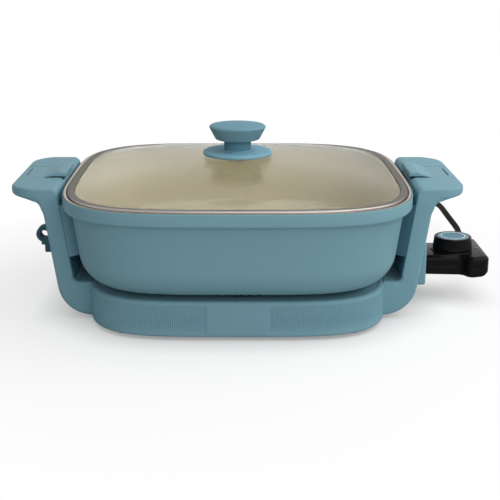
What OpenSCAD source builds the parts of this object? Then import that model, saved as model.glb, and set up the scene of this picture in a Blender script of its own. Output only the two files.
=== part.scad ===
// Square electric skillet in a cradle base: a lift-out pan with a glass lid, two uprights with
// handles and sliding latches, and a plug-in heat control on a mains cord.
// The origin is on the table under the middle of the pan. X runs towards the heat control,
// Y towards the back and Z up. All sizes are in millimetres.

/* [Pan] */
// Width of the pan across its rim
pan_w = 305; // [292:1:320]
// Depth of the pan across its rim, front to back
pan_d = 305; // [292:1:320]
// Height of the pan from its underside to its rim
pan_h = 79; // [74:1:88]
// Squareness of the pan outline, as a superellipse exponent
pan_square = 3.9; // [3.4:0.1:4.6]
// Squareness of the pan outline at its floor
pan_floor_square = 4.3; // [3.8:0.1:4.8]
// Thickness of the pan's wall and floor
pan_wall = 3; // [2.4:0.1:3.6]
// Outside radius between the pan's wall and floor
pan_corner_r = 30; // [27:1:32]
// Lean of the pan wall and of the uprights, in degrees
draft = 8.4; // [7:0.2:9.4]
// Height of the rim collar
collar_h = 12; // [10:0.5:15]
// Overhang of the rim collar over the wall
collar_out = 6.3; // [5.6:0.1:7]
// Width of the bare metal lip outside the lid
lip_w = 3.4; // [2.8:0.1:4]
// Depth of the ledge that carries the lid, below the lip
ledge_drop = 2.5; // [2.2:0.1:3]

/* [Lid] */
// Gap between the lid's band and the lip around it
lid_gap = 0.8; // [0.5:0.1:1.2]
// Width of the steel band around the glass
band_w = 6; // [5:0.1:7]
// Height of the steel band
band_h = 3.9; // [3.4:0.1:4.1]
// Thickness of the glass
glass_t = 3.6; // [3:0.1:4]
// Rise of the glass dome above the band
dome_h = 16.6; // [12:0.2:24]

/* [Knob] */
// Radius of the knob at its top edge
knob_r = 26.2; // [22:0.2:29]
// Radius of the knob where its cone starts
knob_base_r = 20; // [15:0.2:21]
// Height of the knob's cone
knob_h = 14.5; // [11:0.5:17]
// Radius of the neck under the knob
neck_r = 12.3; // [10:0.1:14]
// Height of the neck
neck_h = 10.5; // [8:0.5:14]
// Radius of the heat guard disc
guard_disc_r = 31.6; // [27:0.2:36]
// Thickness of the heat guard disc
guard_disc_t = 3.6; // [2.6:0.1:4.2]

/* [Base] */
// How far the tray's sides stand in from the pan's rim
base_inset_x = 20.5; // [18.5:0.5:23.5]
// How far the tray's front and back stand in from the pan's rim
base_inset_y = 25.5; // [17.5:0.5:30.5]
// Height of the base tray
base_h = 31; // [29:0.5:34]
// Squareness of the tray outline, as a superellipse exponent
base_square = 4.2; // [3.8:0.1:4.8]
// Wall thickness of the tray
base_wall = 2.5; // [2:0.1:3]
// Width of the rim around the tray's deck
base_rim_w = 5; // [4:0.1:6]
// Depth of the deck below the tray's rim
deck_drop = 1.5; // [1.2:0.1:2.2]
// Height of the rubber feet below the tray
foot_h = 3.5; // [3:0.1:5]
// Radius of the rubber feet
foot_pad_r = 8; // [6:0.5:9]
// Height of the silicone rests that carry the pan
rest_h = 3.9; // [3.6:0.1:4.4]

/* [Uprights] */
// Width of each upright, front to back
upright_w = 144; // [130:1:156]
// Thickness of each upright's leg
leg_t = 15.2; // [14.4:0.1:17]
// Clearance between the rim collar and the uprights
upright_clear = 1.3; // [1:0.1:2]
// Radius of the upright's foot
foot_r = 30; // [27:1:32]
// Reach of the handle beyond the pan's rim
handle_reach = 45.5; // [43:0.5:52]
// Thickness of the handle
handle_t = 11.7; // [11:0.1:14]
// Height of the handle above the pan's rim
handle_rise = 2; // [1.9:0.1:3]
// Radius of the handle's outer corners, seen from above
handle_corner_r = 25; // [15:1:30]
// Radius under the handle, where it meets the leg
underarm_r = 15; // [12:0.5:18]
// Thickness of the upright's outer wall
upright_skin = 3.2; // [2.8:0.1:3.6]
// Thickness of the upright's end walls
end_wall = 6; // [4:0.5:8]
// Thickness of the liner panel inside each upright
liner_t = 2.5; // [2:0.1:3]

/* [Latches] */
// Width of each latch slider
latch_w = 49; // [40:1:60]
// Travel of each latch over the rim
latch_travel = 9; // [6:0.5:9.5]
// Thickness of the slider's flush plate
latch_plate_t = 3.8; // [3.2:0.1:4.2]
// Height of the slider's thumb tab above the handle
latch_tab_h = 4.5; // [3:0.1:6]
// Length of the tab's flat top
latch_tab_l = 8; // [6:0.5:10]
// Length of the ramp behind the tab
latch_ramp_l = 12.4; // [8:0.2:16]

/* [Control] */
// Height of the control housing
control_h = 17.3; // [16.5:0.1:20]
// Height of the control's underside above the table
control_z = 26.7; // [25:0.1:27.5]
// Length of the control housing
control_l = 70; // [68.5:0.5:76]
// Length of the control's wide head
head_l = 21; // [20:0.5:23]
// Width of the control's neck
neck_w = 47; // [44:0.5:48]
// Width of the control's head
head_w = 66; // [63:0.5:72]
// Wall thickness of the control housing
control_wall = 2.2; // [1.8:0.1:2.4]
// Radius of the temperature probe
probe_r = 3; // [2.5:0.1:3.2]
// Length of the probe in front of the housing
probe_l = 42; // [36:0.5:42.5]
// Radius of the contact pins
pin_r = 2; // [1.8:0.05:2.2]
// Distance between the contact pins
pin_pitch = 24; // [22:0.5:25]
// Length of the pin guard on the right upright
pin_guard_l = 15; // [10:0.5:17]

/* [Dial] */
// Radius of the dial at its top
dial_r = 17.1; // [15:0.1:18]
// Height of the dial
dial_h = 11.4; // [9:0.2:14]
// Radius of the dial's shaft
shaft_r = 3; // [2.5:0.1:3.4]

/* [Cord] */
// Diameter of the mains cord
cord_d = 6; // [5:0.1:6.2]
// Length of the strain relief outside the housing
relief_l = 30; // [22:1:34]
// Radius of the coil at its innermost turn
coil_r = 29.4; // [26:0.2:32]
// Step between neighbouring turns and layers of the coil
coil_step = 6.6; // [6.6:0.1:7.4]

/* [Hidden] */
$fn = 64;

// Sides of every superellipse outline
segments = 64;
// Gap left between pieces that are assembled, and the overlap used for through cuts
fit = 0.2;
slip = 0.3;
through = 1;

// Heights
base_z = foot_h;
base_top = base_z + base_h;
deck_z = base_top - deck_drop;
pan_z = deck_z + rest_h + 0.1;
rim_z = pan_z + pan_h;
collar_z = rim_z - collar_h;
ledge_z = rim_z - ledge_drop;
handle_top = rim_z + handle_rise;
handle_under = handle_top - handle_t;

// Pan section: the wall leans by the draft angle and is tangent to the corner radius
wall_top_x = pan_w / 2 - collar_out;
corner_z = pan_z + pan_corner_r;
corner_x = wall_top_x - (collar_z - corner_z) * tan(draft) - pan_corner_r / cos(draft);
// How much narrower every ring is front to back than side to side
pan_narrow = (pan_w - pan_d) / 2;
corner_steps = 5;

// Tray's width and depth
base_w = pan_w - 2 * base_inset_x;
base_d = pan_d - 2 * base_inset_y;

// Lines parallel to the pan wall, at a distance from the centre of the pan's corner radius
inner_d = pan_corner_r + (collar_out + upright_clear) * cos(draft);
outer_d = inner_d + leg_t;
tip_x = pan_w / 2 + handle_reach;
foot_cz = base_z + foot_r;
foot_cx = lean_x(outer_d - foot_r, foot_cz);
arm_cz = handle_under - underarm_r;
arm_cx = lean_x(outer_d + underarm_r, arm_cz);
tip_round = 3;
tip_lift = 3.2;
tip_slope = 14;
brow_r = 6;
block_in = 30;
pocket_rise = 1.5;
pocket_drop = 6;
liner_rise = 22.5;
liner_recess = 0.6;
brow_cx = lean_x(inner_d + brow_r, handle_top - brow_r);
block_x = base_w / 2 - block_in;
ledge_fillet = 5;

// Heater ring under the pan, well inside its flat floor
element_in = 32;
element_r = corner_x - element_in;
element_tube_r = 3.4;
element_z = pan_z - element_tube_r - fit;
element_gap = 30;
clip_t = 1.3;
clip_half = [6, 7];

// Base tray, with a well around the heater ring and its shield
recess_margin = 30.6;
recess_r = element_r + recess_margin;
recess_drop = 9.5;
recess_slope = 4;
well_r = recess_r - recess_slope;
shield_margin = 6;
shield_r = element_r + shield_margin;
shield_rise = 3;
shield_t = 0.8;
probe_slot = 1.2;
recess_z = deck_z - recess_drop;
floor_t = 2.2;
floor_z = base_z + fit;
boss_r = 5;
boss_out = [-1, -29];
boss_xy = [recess_r, recess_r] + boss_out;
post_in = [45, 51];
post_xy = [recess_r, recess_r] - post_in;
screw_r = 1.6;
screw_head_r = 3.2;
screw_head_h = 2;
floor_screw_l = 10;
foot_in = [35, 28];
foot_xy = [base_w / 2, base_d / 2] - foot_in;
rest_pad_r = 6;
rest_in = 10;
rest_y = 60;
rest_xy = [corner_x - rest_in, rest_y];
side_screw_y = 50;
side_screw_rise = 14.5;
side_screw_z = base_z + side_screw_rise;
side_screw_l = 12;
side_screw_in = 10;

// Latches
channel_z = handle_top - latch_plate_t - fit;
tab_over = 0.4;
plate_in = 2.3;
latch_x = lean_x(inner_d, handle_top - brow_r) - tab_over;
plate_x = latch_x + latch_travel + plate_in;
channel_x = plate_x - latch_travel - slip;
keel_in = 12;
keel_x = plate_x + keel_in;
keel_l = 8;
keel_w = 8;
keel_h = 3.4;
keeper_margin = [3, 5];
keeper_t = 2.8;
groove_in = 7.4;
groove_w = 1.6;
groove_l = 30;

// Heat control and its contacts
control_gap = 1.4;
control_x = lean_x(outer_d, control_z + control_h / 2) + control_gap;
control_end = control_x + control_l;
head_x = control_end - head_l;
control_top = control_z + control_h;
probe_rise = 8.3;
probe_z = control_z + probe_rise;
split_z = probe_z;
flare_l = 14;
head_corner_r = 6.5;
pin_y = pin_pitch / 2;
dial_in = 28.5;
dial_x = control_end - dial_in;
plateau_r = 20.3;
plateau_h = 1.3;
block_w = 31.4;
block_l = 25;
sleeve_wall = 0.9;
thermostat_l = 29;
thermostat_w = 28;
neck_boss_in = [7.5, 4.5];
head_boss_in = [4.5, 8];
boss_xs = [control_x + neck_boss_in[0], head_x + head_boss_in[0]];
boss_ys = [neck_w / 2 - neck_boss_in[1], head_w / 2 - head_boss_in[1]];
control_boss_r = 3;
control_screw_r = 1.2;
control_head_r = 2.6;
lens_in = 6;
lens_xy = [control_end - lens_in, -3];
lens_size = [4.6, 4];
lens_lip = 1.2;
cord_in = 7.5;
cord_rise = 9.8;
cord_x = control_end - cord_in;
cord_z = control_z + cord_rise;
relief_r = 5.4;
relief_flange_r = 4.4;
relief_flange_t = 1.6;
relief_flange_gap = 1.9;
relief_waist_r = 4;

// Contacts between pan and base
hood_w = 44;
hood_rise = [5, 19];
hood_gap = 1.2;
hood_z = [pan_z + hood_rise[0], pan_z + hood_rise[1]];
hood_x = lean_x(inner_d, hood_z[1]) - hood_gap;
contact_in = 3.4;
contact_x = hood_x - contact_in;
contact_l = 10;
terminal_h = 13.8;
terminal_in = 6;
terminal_skin = 1.5;
terminal_z = [control_z - fit, control_z + terminal_h];
terminal_x = [contact_x - terminal_in, lean_x(outer_d, base_z + foot_r) - terminal_skin];
terminal_w = 36;
pins_out = 12;

// Lid and knob
lid_x = pan_w / 2 - lip_w - lid_gap;
band_z = ledge_z + fit;
band_top = band_z + band_h;
glass_x = lid_x - band_w - fit;
glass_top = band_top + dome_h;
dome_power = 2;
dome_shares = [1, 0.97, 0.92, 0.84, 0.72, 0.56, 0.38, 0.2];
glass_hole_r = 4.2;
gasket_t = 0.5;
gasket_r = 16;
guard_disc_z = glass_top + gasket_t;
neck_z = guard_disc_z + guard_disc_t;
knob_z = neck_z + neck_h;
knob_dome = 2.4;
knob_screw_r = 2.4;

// Cord route from the strain relief to the coil, points chosen by hand
coil_xy = [120, 255];
coil_turns = 2;
coil_rings = 24;
coil_z = 4.3;
coil_end_r = coil_r + coil_step * coil_turns / 2;
cord_sides = 10;
relief_end = head_w / 2 + relief_l;
cord_route = [
    [cord_x, relief_end, cord_z], [cord_x, relief_end + 5, cord_z], [cord_x + 0.9, 77, cord_z + 0.3],
    [225.4, 87, 37.3], [226.2, 98, 37.9], [226, 112, 38.5], [225.4, 128, 39.2], [225, 146, 39.8],
    [225, 166, 40], [225.2, 184, 39.5], [225, 202, 38], [223.9, 218, 35], [221.5, 232, 30.5],
    [217.2, 246, 24.5], [211, 259, 18], [202.5, 270, 12.5], [192, 279, 8.5], [180, 286, 6],
    [167, 290, 4.8], [154, 291, coil_z], [140, 291, coil_z]
];

// Plug at the end of the cord
plug_size = [36, 26, 19.4];
plug_nose_l = 12;
coil_tail = 22;
plug_x = coil_xy[0] - coil_tail - plug_nose_l;
plug_z = coil_z + coil_step;
blade_size = [17, 1.5, 6.3];
blade_pitch = 12.7;

// Colours
teal = [0.44, 0.58, 0.62];
dark_teal = [0.30, 0.43, 0.47];
steel = [0.75, 0.75, 0.76];
black = [0.06, 0.06, 0.065];
rubber = [0.12, 0.12, 0.12];
ceramic = [0.86, 0.83, 0.76];

// X of a line parallel to the pan wall, at a distance from the corner radius' centre
function lean_x(distance, z) = corner_x + (distance + (z - corner_z) * sin(draft)) / cos(draft);

// Points of an arc in a plane
function arc(centre, r, from, to, steps = 8) = [
    for (i = [0 : steps])
        let (t = from + (to - from) * i / steps)
        centre + r * [cos(t), sin(t)]
];

// One superellipse ring of half widths a and b at height z
function ring(a, b, n, z) = [
    for (i = [0 : segments - 1])
        let (t = 360 * i / segments, c = cos(t), s = sin(t))
        [a * sign(c) * pow(abs(c), 2 / n), b * sign(s) * pow(abs(s), 2 / n), z]
];

// Rings of the pan family at half width a, squarer towards its floor, and of the base family
function pan_square_at(z) = pan_square
    + (pan_floor_square - pan_square) * max(0, min(1, (collar_z - z) / (collar_z - pan_z)));
function pan_ring(a, z) = ring(a, a - pan_narrow, pan_square_at(z), z);
function base_ring(a, z) = ring(a, a - (base_w - base_d) / 2, base_square, z);
function recess_ring(r, z) = ring(r, r, 2, z);

// X of a tray wall of half width a, at a distance y from its middle
function side_x(a, y) =
    a * pow(1 - pow(y / (a - (base_w - base_d) / 2), base_square), 1 / base_square);

// Flat outline of the base tray, grown by a margin
function base_outline(grow) = [for (p = base_ring(base_w / 2 + grow, 0)) [p[0], p[1]]];

// Skin over a stack of rings, capped at both ends or closed into a loop
module ring_stack(rings, closed = false) {
    count = len(rings[0]);
    total = len(rings);
    spans = closed ? total - 1 : total - 2;
    sides = [
        for (k = [0 : spans], i = [0 : count - 1])
            let (
                here = k * count,
                next = ((k + 1) % total) * count,
                j = (i + 1) % count
            )
            each [[here + i, next + i, next + j], [here + i, next + j, here + j]]
    ];
    first_cap = [for (i = [0 : count - 1]) i];
    last_cap = [for (i = [count - 1 : -1 : 0]) (total - 1) * count + i];
    caps = closed ? [] : [first_cap, last_cap];
    polyhedron(points = [for (r = rings) each r], faces = concat(sides, caps));
}

// Box between two corners
module box(low, high) {
    translate(low) cube(high - low);
}

// Section in the XZ plane carried along Y
module along_y(width) {
    rotate([90, 0, 0]) linear_extrude(height = width, center = true) children();
}

// Round bars along each axis
module bar_z(r, z0, z1) {
    translate([0, 0, z0]) cylinder(r = r, h = z1 - z0);
}

module bar_x(r, x0, x1, y, z) {
    translate([x0, y, z]) rotate([0, 90, 0]) cylinder(r = r, h = x1 - x0);
}

module bar_y(r, x, y0, y1, z, r_end = -1) {
    end = r_end < 0 ? r : r_end;
    translate([x, y0, z]) rotate([-90, 0, 0]) cylinder(r1 = r, r2 = end, h = y1 - y0);
}

// One copy at each corner of a rectangle about the origin
module at_corners(xy) {
    for (sx = [-1, 1], sy = [-1, 1])
        translate([sx * xy[0], sy * xy[1], 0]) children();
}

// Base tray: outer wall with a rim, a sunken deck and a skirt around the heater's well
module base_shell() {
    out = base_w / 2;
    inside = out - base_wall;
    lip = out - base_rim_w;
    edge = 1;
    color(teal) difference() {
        union() {
            ring_stack([
                recess_ring(well_r + base_wall, recess_z),
                recess_ring(recess_r + base_wall, deck_z - base_wall),
                base_ring(inside, deck_z - base_wall),
                base_ring(inside, base_z),
                base_ring(out - edge, base_z),
                base_ring(out, base_z + edge),
                base_ring(out, base_top - edge),
                base_ring(out - edge, base_top),
                base_ring(lip + edge, base_top),
                base_ring(lip, deck_z),
                recess_ring(recess_r, deck_z),
                recess_ring(well_r, recess_z)
            ], closed = true);
            at_corners(boss_xy) bar_z(boss_r, floor_z + floor_t, deck_z - base_wall / 2);
        }
        at_corners(boss_xy) bar_z(screw_r, floor_z, floor_z + floor_screw_l + through);
        for (side = [-1, 1], y = [-side_screw_y, side_screw_y])
            mirror([side < 0 ? 1 : 0, 0, 0])
                bar_x(screw_r + fit, out - side_screw_in, out + through, y, side_screw_z);
        box([control_x - probe_l - through, -probe_r - probe_slot, probe_z - probe_r - slip],
            [out + through, probe_r + probe_slot, base_top + through]);
    }
}

// Floor of the heater's well, held up against the skirt by posts on the floor plate
module base_well() {
    color(dark_teal) {
        translate([0, 0, recess_z - base_wall]) linear_extrude(height = base_wall)
            polygon([for (p = recess_ring(well_r + base_wall, 0)) [p[0], p[1]]]);
        at_corners(post_xy) bar_z(boss_r, floor_z + floor_t, recess_z - base_wall / 2);
    }
}

// Plate that closes the underside of the tray
module base_floor() {
    color(dark_teal) difference() {
        translate([0, 0, floor_z]) linear_extrude(height = floor_t) polygon(base_outline(-base_wall - slip));
        at_corners(boss_xy) bar_z(screw_r + fit, floor_z - through, floor_z + floor_t + through);
    }
}

module rubber_feet() {
    color(rubber) at_corners(foot_xy) bar_z(foot_pad_r, 0, floor_z);
}

// Screws that hold the floor plate
module base_screws() {
    color(steel) at_corners(boss_xy) {
        bar_z(screw_head_r, floor_z - screw_head_h, floor_z);
        bar_z(screw_r - fit / 2, floor_z - screw_head_h, floor_z + floor_screw_l);
    }
}

// Screws from inside the tray into the feet of the uprights, heads clear of the curved wall
module upright_screws() {
    x = side_x(base_w / 2 - base_wall, side_screw_y + screw_head_r) - slip;
    color(steel) for (side = [0, 1], y = [-side_screw_y, side_screw_y])
        mirror([side, 0, 0]) {
            bar_x(screw_head_r, x - screw_head_h, x, y, side_screw_z);
            bar_x(screw_r - fit / 2, x - screw_head_h, x + side_screw_l, y, side_screw_z);
        }
}

// Section of the right upright: foot arc, leaning leg, handle and the ledge at the tray's rim
upright_section = concat(
    [[block_x, base_z]],
    arc([foot_cx, foot_cz], foot_r, -90, -draft),
    arc([arm_cx, arm_cz], underarm_r, 180 - draft, 90),
    arc([tip_x - tip_round, handle_under + tip_lift + tip_round], tip_round, tip_slope - 90, 0, 4),
    arc([tip_x - tip_round, handle_top - tip_round], tip_round, 0, 90, 4),
    arc([brow_cx, handle_top - brow_r], brow_r, 90, 180 - draft, 5),
    arc([lean_x(inner_d - ledge_fillet, base_top + ledge_fillet), base_top + ledge_fillet],
        ledge_fillet, -draft, -90, 5),
    [[block_x, base_top]]
);

// Plan of the upright, with the handle's rounded outer corners
upright_plan = concat(
    [[block_x, -upright_w / 2]],
    arc([tip_x - handle_corner_r, handle_corner_r - upright_w / 2], handle_corner_r, -90, 0, 10),
    arc([tip_x - handle_corner_r, upright_w / 2 - handle_corner_r], handle_corner_r, 0, 90, 10),
    [[block_x, upright_w / 2]]
);

// Hollow of the upright between its end walls
pocket_z = [base_top + pocket_rise, handle_under - pocket_drop];
module upright_pocket() {
    along_y(upright_w - 2 * end_wall) polygon([
        for (z = pocket_z) [lean_x(inner_d - leg_t, z), z],
        for (i = [1, 0]) [lean_x(outer_d - upright_skin, pocket_z[i]), pocket_z[i]]
    ]);
}

// Upright of the right side, with the channel and slot of its latch
module upright() {
    difference() {
        intersection() {
            along_y(upright_w) polygon(upright_section);
            linear_extrude(height = handle_top + through) polygon(upright_plan);
        }
        linear_extrude(height = base_top + fit) polygon(base_outline(fit));
        upright_pocket();
        box([channel_x, -latch_w / 2 - slip, channel_z],
            [tip_x + through, latch_w / 2 + slip, handle_top + through]);
        box([keel_x - latch_travel - slip, -keel_w / 2 - slip, handle_under - through],
            [keel_x + keel_l + slip, keel_w / 2 + slip, handle_top]);
        box([keel_x - keeper_margin[0] - latch_travel - slip, -keel_w / 2 - keeper_margin[1] - slip,
                handle_under - through],
            [keel_x + keel_l + keeper_margin[0] + slip, keel_w / 2 + keeper_margin[1] + slip,
                channel_z + fit - keel_h + fit]);
        for (y = [-side_screw_y, side_screw_y])
            bar_x(screw_r, base_w / 2 - side_screw_in, base_w / 2 + side_screw_l, y, side_screw_z);
    }
}

module left_upright() {
    color(teal) mirror([1, 0, 0]) upright();
}

// Right upright, opened for the terminal block, its pins and the probe
module right_upright() {
    color(teal) difference() {
        upright();
        box([terminal_x[0] - fit, -terminal_w / 2 - fit, terminal_z[0] - fit],
            [terminal_x[1] + fit, terminal_w / 2 + fit, max(pocket_z[0], terminal_z[1]) + through]);
        bar_x(probe_r + slip, base_w / 2 - side_screw_in, control_x, 0, probe_z);
        for (y = [-pin_y, pin_y]) bar_x(pin_r + slip, terminal_x[1], control_x, y, probe_z);
    }
}

// Panel that lines an upright's hollow, open in its lower middle for the pan's contacts
liner_z = [base_top + liner_rise, pocket_z[1] - slip];
liner_foot = pocket_z[0] + 1;
liner_opening = hood_w + 4;
module liner() {
    near = inner_d + liner_recess;
    difference() {
        along_y(upright_w - 2 * end_wall - 2 * slip) polygon([
            for (z = [liner_foot, liner_z[1]]) [lean_x(near, z), z],
            for (z = [liner_z[1], liner_foot]) [lean_x(near + liner_t, z), z]
        ]);
        box([block_x, -liner_opening / 2, base_z], [tip_x, liner_opening / 2, liner_z[0]]);
    }
}

module left_liner() {
    color(dark_teal) mirror([1, 0, 0]) liner();
}

module right_liner() {
    color(dark_teal) liner();
}

// Two blocks on a liner that centre the pan between the uprights, under its collar, each with a
// nose that runs on in front of the upright's end wall
guide_gap = 1.2;
guide_w = 20;
guide_nose = 4.5;
guide_step = 1.6;
guide_root = 1;
guide_top = collar_z - 0.8;
module guides() {
    near = pan_corner_r + guide_gap;
    mid = inner_d - slip;
    far = inner_d + liner_recess - fit;
    end = upright_w / 2 - end_wall - slip;
    for (side = [0, 1]) mirror([0, side, 0]) {
        translate([0, end - guide_w / 2, 0]) along_y(guide_w) polygon([
            for (z = [liner_z[0], guide_top]) [lean_x(near, z), z],
            for (z = [guide_top, liner_z[1]]) [lean_x(mid, z), z],
            for (i = [1, 0]) [lean_x(far, liner_z[i]), liner_z[i]]
        ]);
        translate([0, end + (guide_nose - guide_root) / 2, 0]) along_y(guide_nose + guide_root) polygon([
            for (z = [liner_z[0], guide_top]) [lean_x(near - guide_step, z), z],
            for (z = [guide_top, liner_z[0]]) [lean_x(mid, z), z]
        ]);
    }
}

module left_guides() {
    color(dark_teal) mirror([1, 0, 0]) guides();
}

module right_guides() {
    color(dark_teal) guides();
}

// Loop on the left upright for hanging the cord: two stepped blocks and a ring
loop_r = 7.7;
loop_hole_r = 3.9;
loop_out = 17.4;
loop_rise = 25.2;
loop_steps = [17.2, 10, 6];
loop_ledge = 3;
loop_root = 4;
loop_z = base_top + loop_rise;
loop_x = lean_x(outer_d, loop_z) + loop_out;
loop_w = 12;
module storage_loop() {
    step = [for (drop = loop_steps) loop_z - drop];
    color(dark_teal) mirror([1, 0, 0]) difference() {
        union() {
            box([lean_x(outer_d, step[0]) - loop_root, -loop_w / 2, step[0]], [loop_x, loop_w / 2, step[1]]);
            box([lean_x(outer_d, step[1]) - loop_root, -loop_w / 2, step[1]],
                [loop_x + loop_ledge, loop_w / 2, step[2]]);
            bar_y(loop_r, loop_x, -loop_w / 2, loop_w / 2, loop_z);
        }
        bar_y(loop_hole_r, loop_x, -loop_w, loop_w, loop_z);
        translate([fit, 0, 0]) along_y(upright_w) polygon(upright_section);
    }
}

// Shroud around the contact pins on the right upright
module pin_guard() {
    margin = [8.5, 8.3, 14];
    play = 0.5;
    root = 8;
    out = lean_x(outer_d, control_z) + pin_guard_l;
    color(teal) difference() {
        box([lean_x(outer_d, control_z) - root, -neck_w / 2 - margin[0], control_z - margin[1]],
            [out, neck_w / 2 + margin[0], control_top + margin[2]]);
        translate([fit / 2, 0, 0]) along_y(upright_w) polygon(upright_section);
        box([0, -neck_w / 2 - play, control_z - play],
            [out + through, neck_w / 2 + play, control_top + play]);
    }
}

// Sheet metal dish under the heating element
module heat_shield() {
    z = [recess_z + fit, recess_z + fit + shield_t, recess_z + fit + shield_rise];
    rim = shield_r + shield_t;
    color(steel) rotate_extrude() polygon([
        [0, z[0]], [shield_r, z[0]], [rim, z[2]], [rim - shield_t, z[2]], [shield_r - shield_t, z[1]],
        [0, z[1]]
    ]);
}

module pan_rests() {
    color(rubber) at_corners(rest_xy) bar_z(rest_pad_r, deck_z, deck_z + rest_h);
}

// Insulating block in the right upright that joins the pan's contacts to the pins
module terminal_block() {
    color(ceramic) difference() {
        box([terminal_x[0], -terminal_w / 2, terminal_z[0]], [terminal_x[1], terminal_w / 2, terminal_z[1]]);
        bar_x(probe_r + slip, terminal_x[0] - through, terminal_x[1] + through, 0, probe_z);
        for (y = [-pin_y, pin_y]) {
            translate([contact_x, y, 0])
                bar_z(pin_r + slip, terminal_z[1] - contact_l, terminal_z[1] + through);
            bar_x(pin_r + 0.05, contact_x + pin_r + 2, terminal_x[1] + through, y, probe_z);
        }
    }
}

module terminal_pins() {
    color(steel) for (y = [-pin_y, pin_y])
        bar_x(pin_r, contact_x + pin_r + 2.2, control_x + pins_out, y, probe_z);
}

// Latch slider: flush plate, thumb tab that reaches over the rim, and a keel below
module latch() {
    tab_z = handle_top + fit;
    low = channel_z + fit;
    top = handle_top + latch_tab_h;
    ramp_x = latch_x + latch_tab_l;
    edge = 1;
    difference() {
        union() {
            along_y(latch_w) polygon([
                [plate_x, low], [tip_x, low],
                [tip_x, handle_top - tip_round], [tip_x - tip_round, handle_top],
                [ramp_x + latch_ramp_l, handle_top], [ramp_x, top], [latch_x + edge, top],
                [latch_x, top - edge], [latch_x, tab_z], [plate_x, tab_z]
            ]);
            box([keel_x, -keel_w / 2, low - keel_h], [keel_x + keel_l, keel_w / 2, low + edge]);
        }
        box([tip_x - groove_in, -groove_l / 2, handle_top - groove_w],
            [tip_x - groove_in + groove_w, groove_l / 2, handle_top + through]);
    }
}

// Plate that clips to the slider's keel under the handle
module latch_keeper() {
    z = channel_z + fit - keel_h;
    box([keel_x - keeper_margin[0], -keel_w / 2 - keeper_margin[1], z - keeper_t],
        [keel_x + keel_l + keeper_margin[0], keel_w / 2 + keeper_margin[1], z]);
}

module left_latch() {
    color(teal) mirror([1, 0, 0]) latch();
}

module left_latch_keeper() {
    color(dark_teal) mirror([1, 0, 0]) latch_keeper();
}

module right_latch() {
    color(teal) latch();
}

module right_latch_keeper() {
    color(dark_teal) latch_keeper();
}

// Pan: rounded bottom, leaning wall, overhanging collar and the ledge for the lid
module pan_body() {
    half = pan_w / 2;
    edge = 1;
    inner_r = pan_corner_r - pan_wall;
    angles = [for (i = [0 : corner_steps]) -90 + (90 - draft) * i / corner_steps];
    color(teal) ring_stack(concat(
        [for (t = angles) pan_ring(corner_x + pan_corner_r * cos(t), corner_z + pan_corner_r * sin(t))],
        [
            pan_ring(wall_top_x, collar_z),
            pan_ring(half - edge, collar_z),
            pan_ring(half, collar_z + edge),
            pan_ring(half, rim_z - edge),
            pan_ring(half - edge, rim_z),
            pan_ring(half - lip_w, rim_z),
            pan_ring(half - lip_w, ledge_z),
            pan_ring(lean_x(inner_r, ledge_z), ledge_z)
        ],
        [
            for (i = [corner_steps : -1 : 0])
                pan_ring(corner_x + inner_r * cos(angles[i]), corner_z + inner_r * sin(angles[i]))
        ]
    ));
}

// Tubular heater ring under the pan's floor, open towards the terminal hood
module heating_element() {
    color([0.35, 0.33, 0.32]) translate([0, 0, element_z]) rotate([0, 0, element_gap / 2])
        rotate_extrude(angle = 360 - element_gap) translate([element_r, 0]) circle(r = element_tube_r);
}

// Clips that hold the heater ring against the pan
module element_clips() {
    half = clip_half;
    color(steel) difference() {
        for (t = [60, 180, 300])
            rotate([0, 0, t]) translate([element_r, 0, 0])
                box([-half[0], -half[1], element_z - element_tube_r - clip_t],
                    [half[0], half[1], pan_z - fit]);
        translate([0, 0, element_z]) rotate_extrude() translate([element_r, 0])
            circle(r = element_tube_r + fit / 2);
    }
}

// Cast boss on the pan's right wall that houses its contacts
module terminal_hood() {
    under = corner_z - hood_z[0];
    over = corner_z - hood_z[1];
    reach = pan_corner_r + fit;
    color([0.2, 0.2, 0.2]) difference() {
        along_y(hood_w) polygon(concat(
            arc([corner_x, corner_z], reach, -asin(under / reach), -asin(over / reach), 6),
            [[hood_x, hood_z[1]], [hood_x, hood_z[0]]]
        ));
        for (y = [-pin_y, pin_y])
            translate([contact_x, y, 0]) bar_z(pin_r + 0.05, hood_z[0] - through, hood_z[0] + 8);
    }
}

module pan_contacts() {
    color(steel) for (y = [-pin_y, pin_y])
        translate([contact_x, y, 0]) bar_z(pin_r, terminal_z[1] - contact_l + 1.5, hood_z[0] + 7.8);
}

// Height of the glass at a share of its half width, and its outline, which turns round at the middle
function dome_z(share) = band_top + dome_h * (1 - pow(share, dome_power));
function dome_square(share) = 2 + (pan_square - 2) * min(1, share * 1.6);
function dome_ring(share, drop) =
    ring(glass_x * share, (glass_x - pan_narrow) * share, dome_square(share), dome_z(share) - drop);

module lid_glass() {
    last = len(dome_shares) - 1;
    color([0.82, 0.88, 0.86, 0.4]) ring_stack(concat(
        [for (share = dome_shares) dome_ring(share, 0)],
        [for (drop = [0, glass_t]) ring(glass_hole_r, glass_hole_r, 2, glass_top - drop)],
        [for (i = [last : -1 : 0]) dome_ring(dome_shares[i], glass_t)]
    ), closed = true);
}

// Steel band around the glass
module lid_band() {
    edge = 0.6;
    color(steel) ring_stack([
        pan_ring(lid_x, band_z),
        pan_ring(lid_x, band_top - edge),
        pan_ring(lid_x - edge, band_top),
        pan_ring(lid_x - band_w, band_top),
        pan_ring(lid_x - band_w, band_z)
    ], closed = true);
}

module knob_gasket() {
    color(rubber) difference() {
        bar_z(gasket_r, glass_top, guard_disc_z);
        bar_z(glass_hole_r, glass_top - through, guard_disc_z + through);
    }
}

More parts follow.
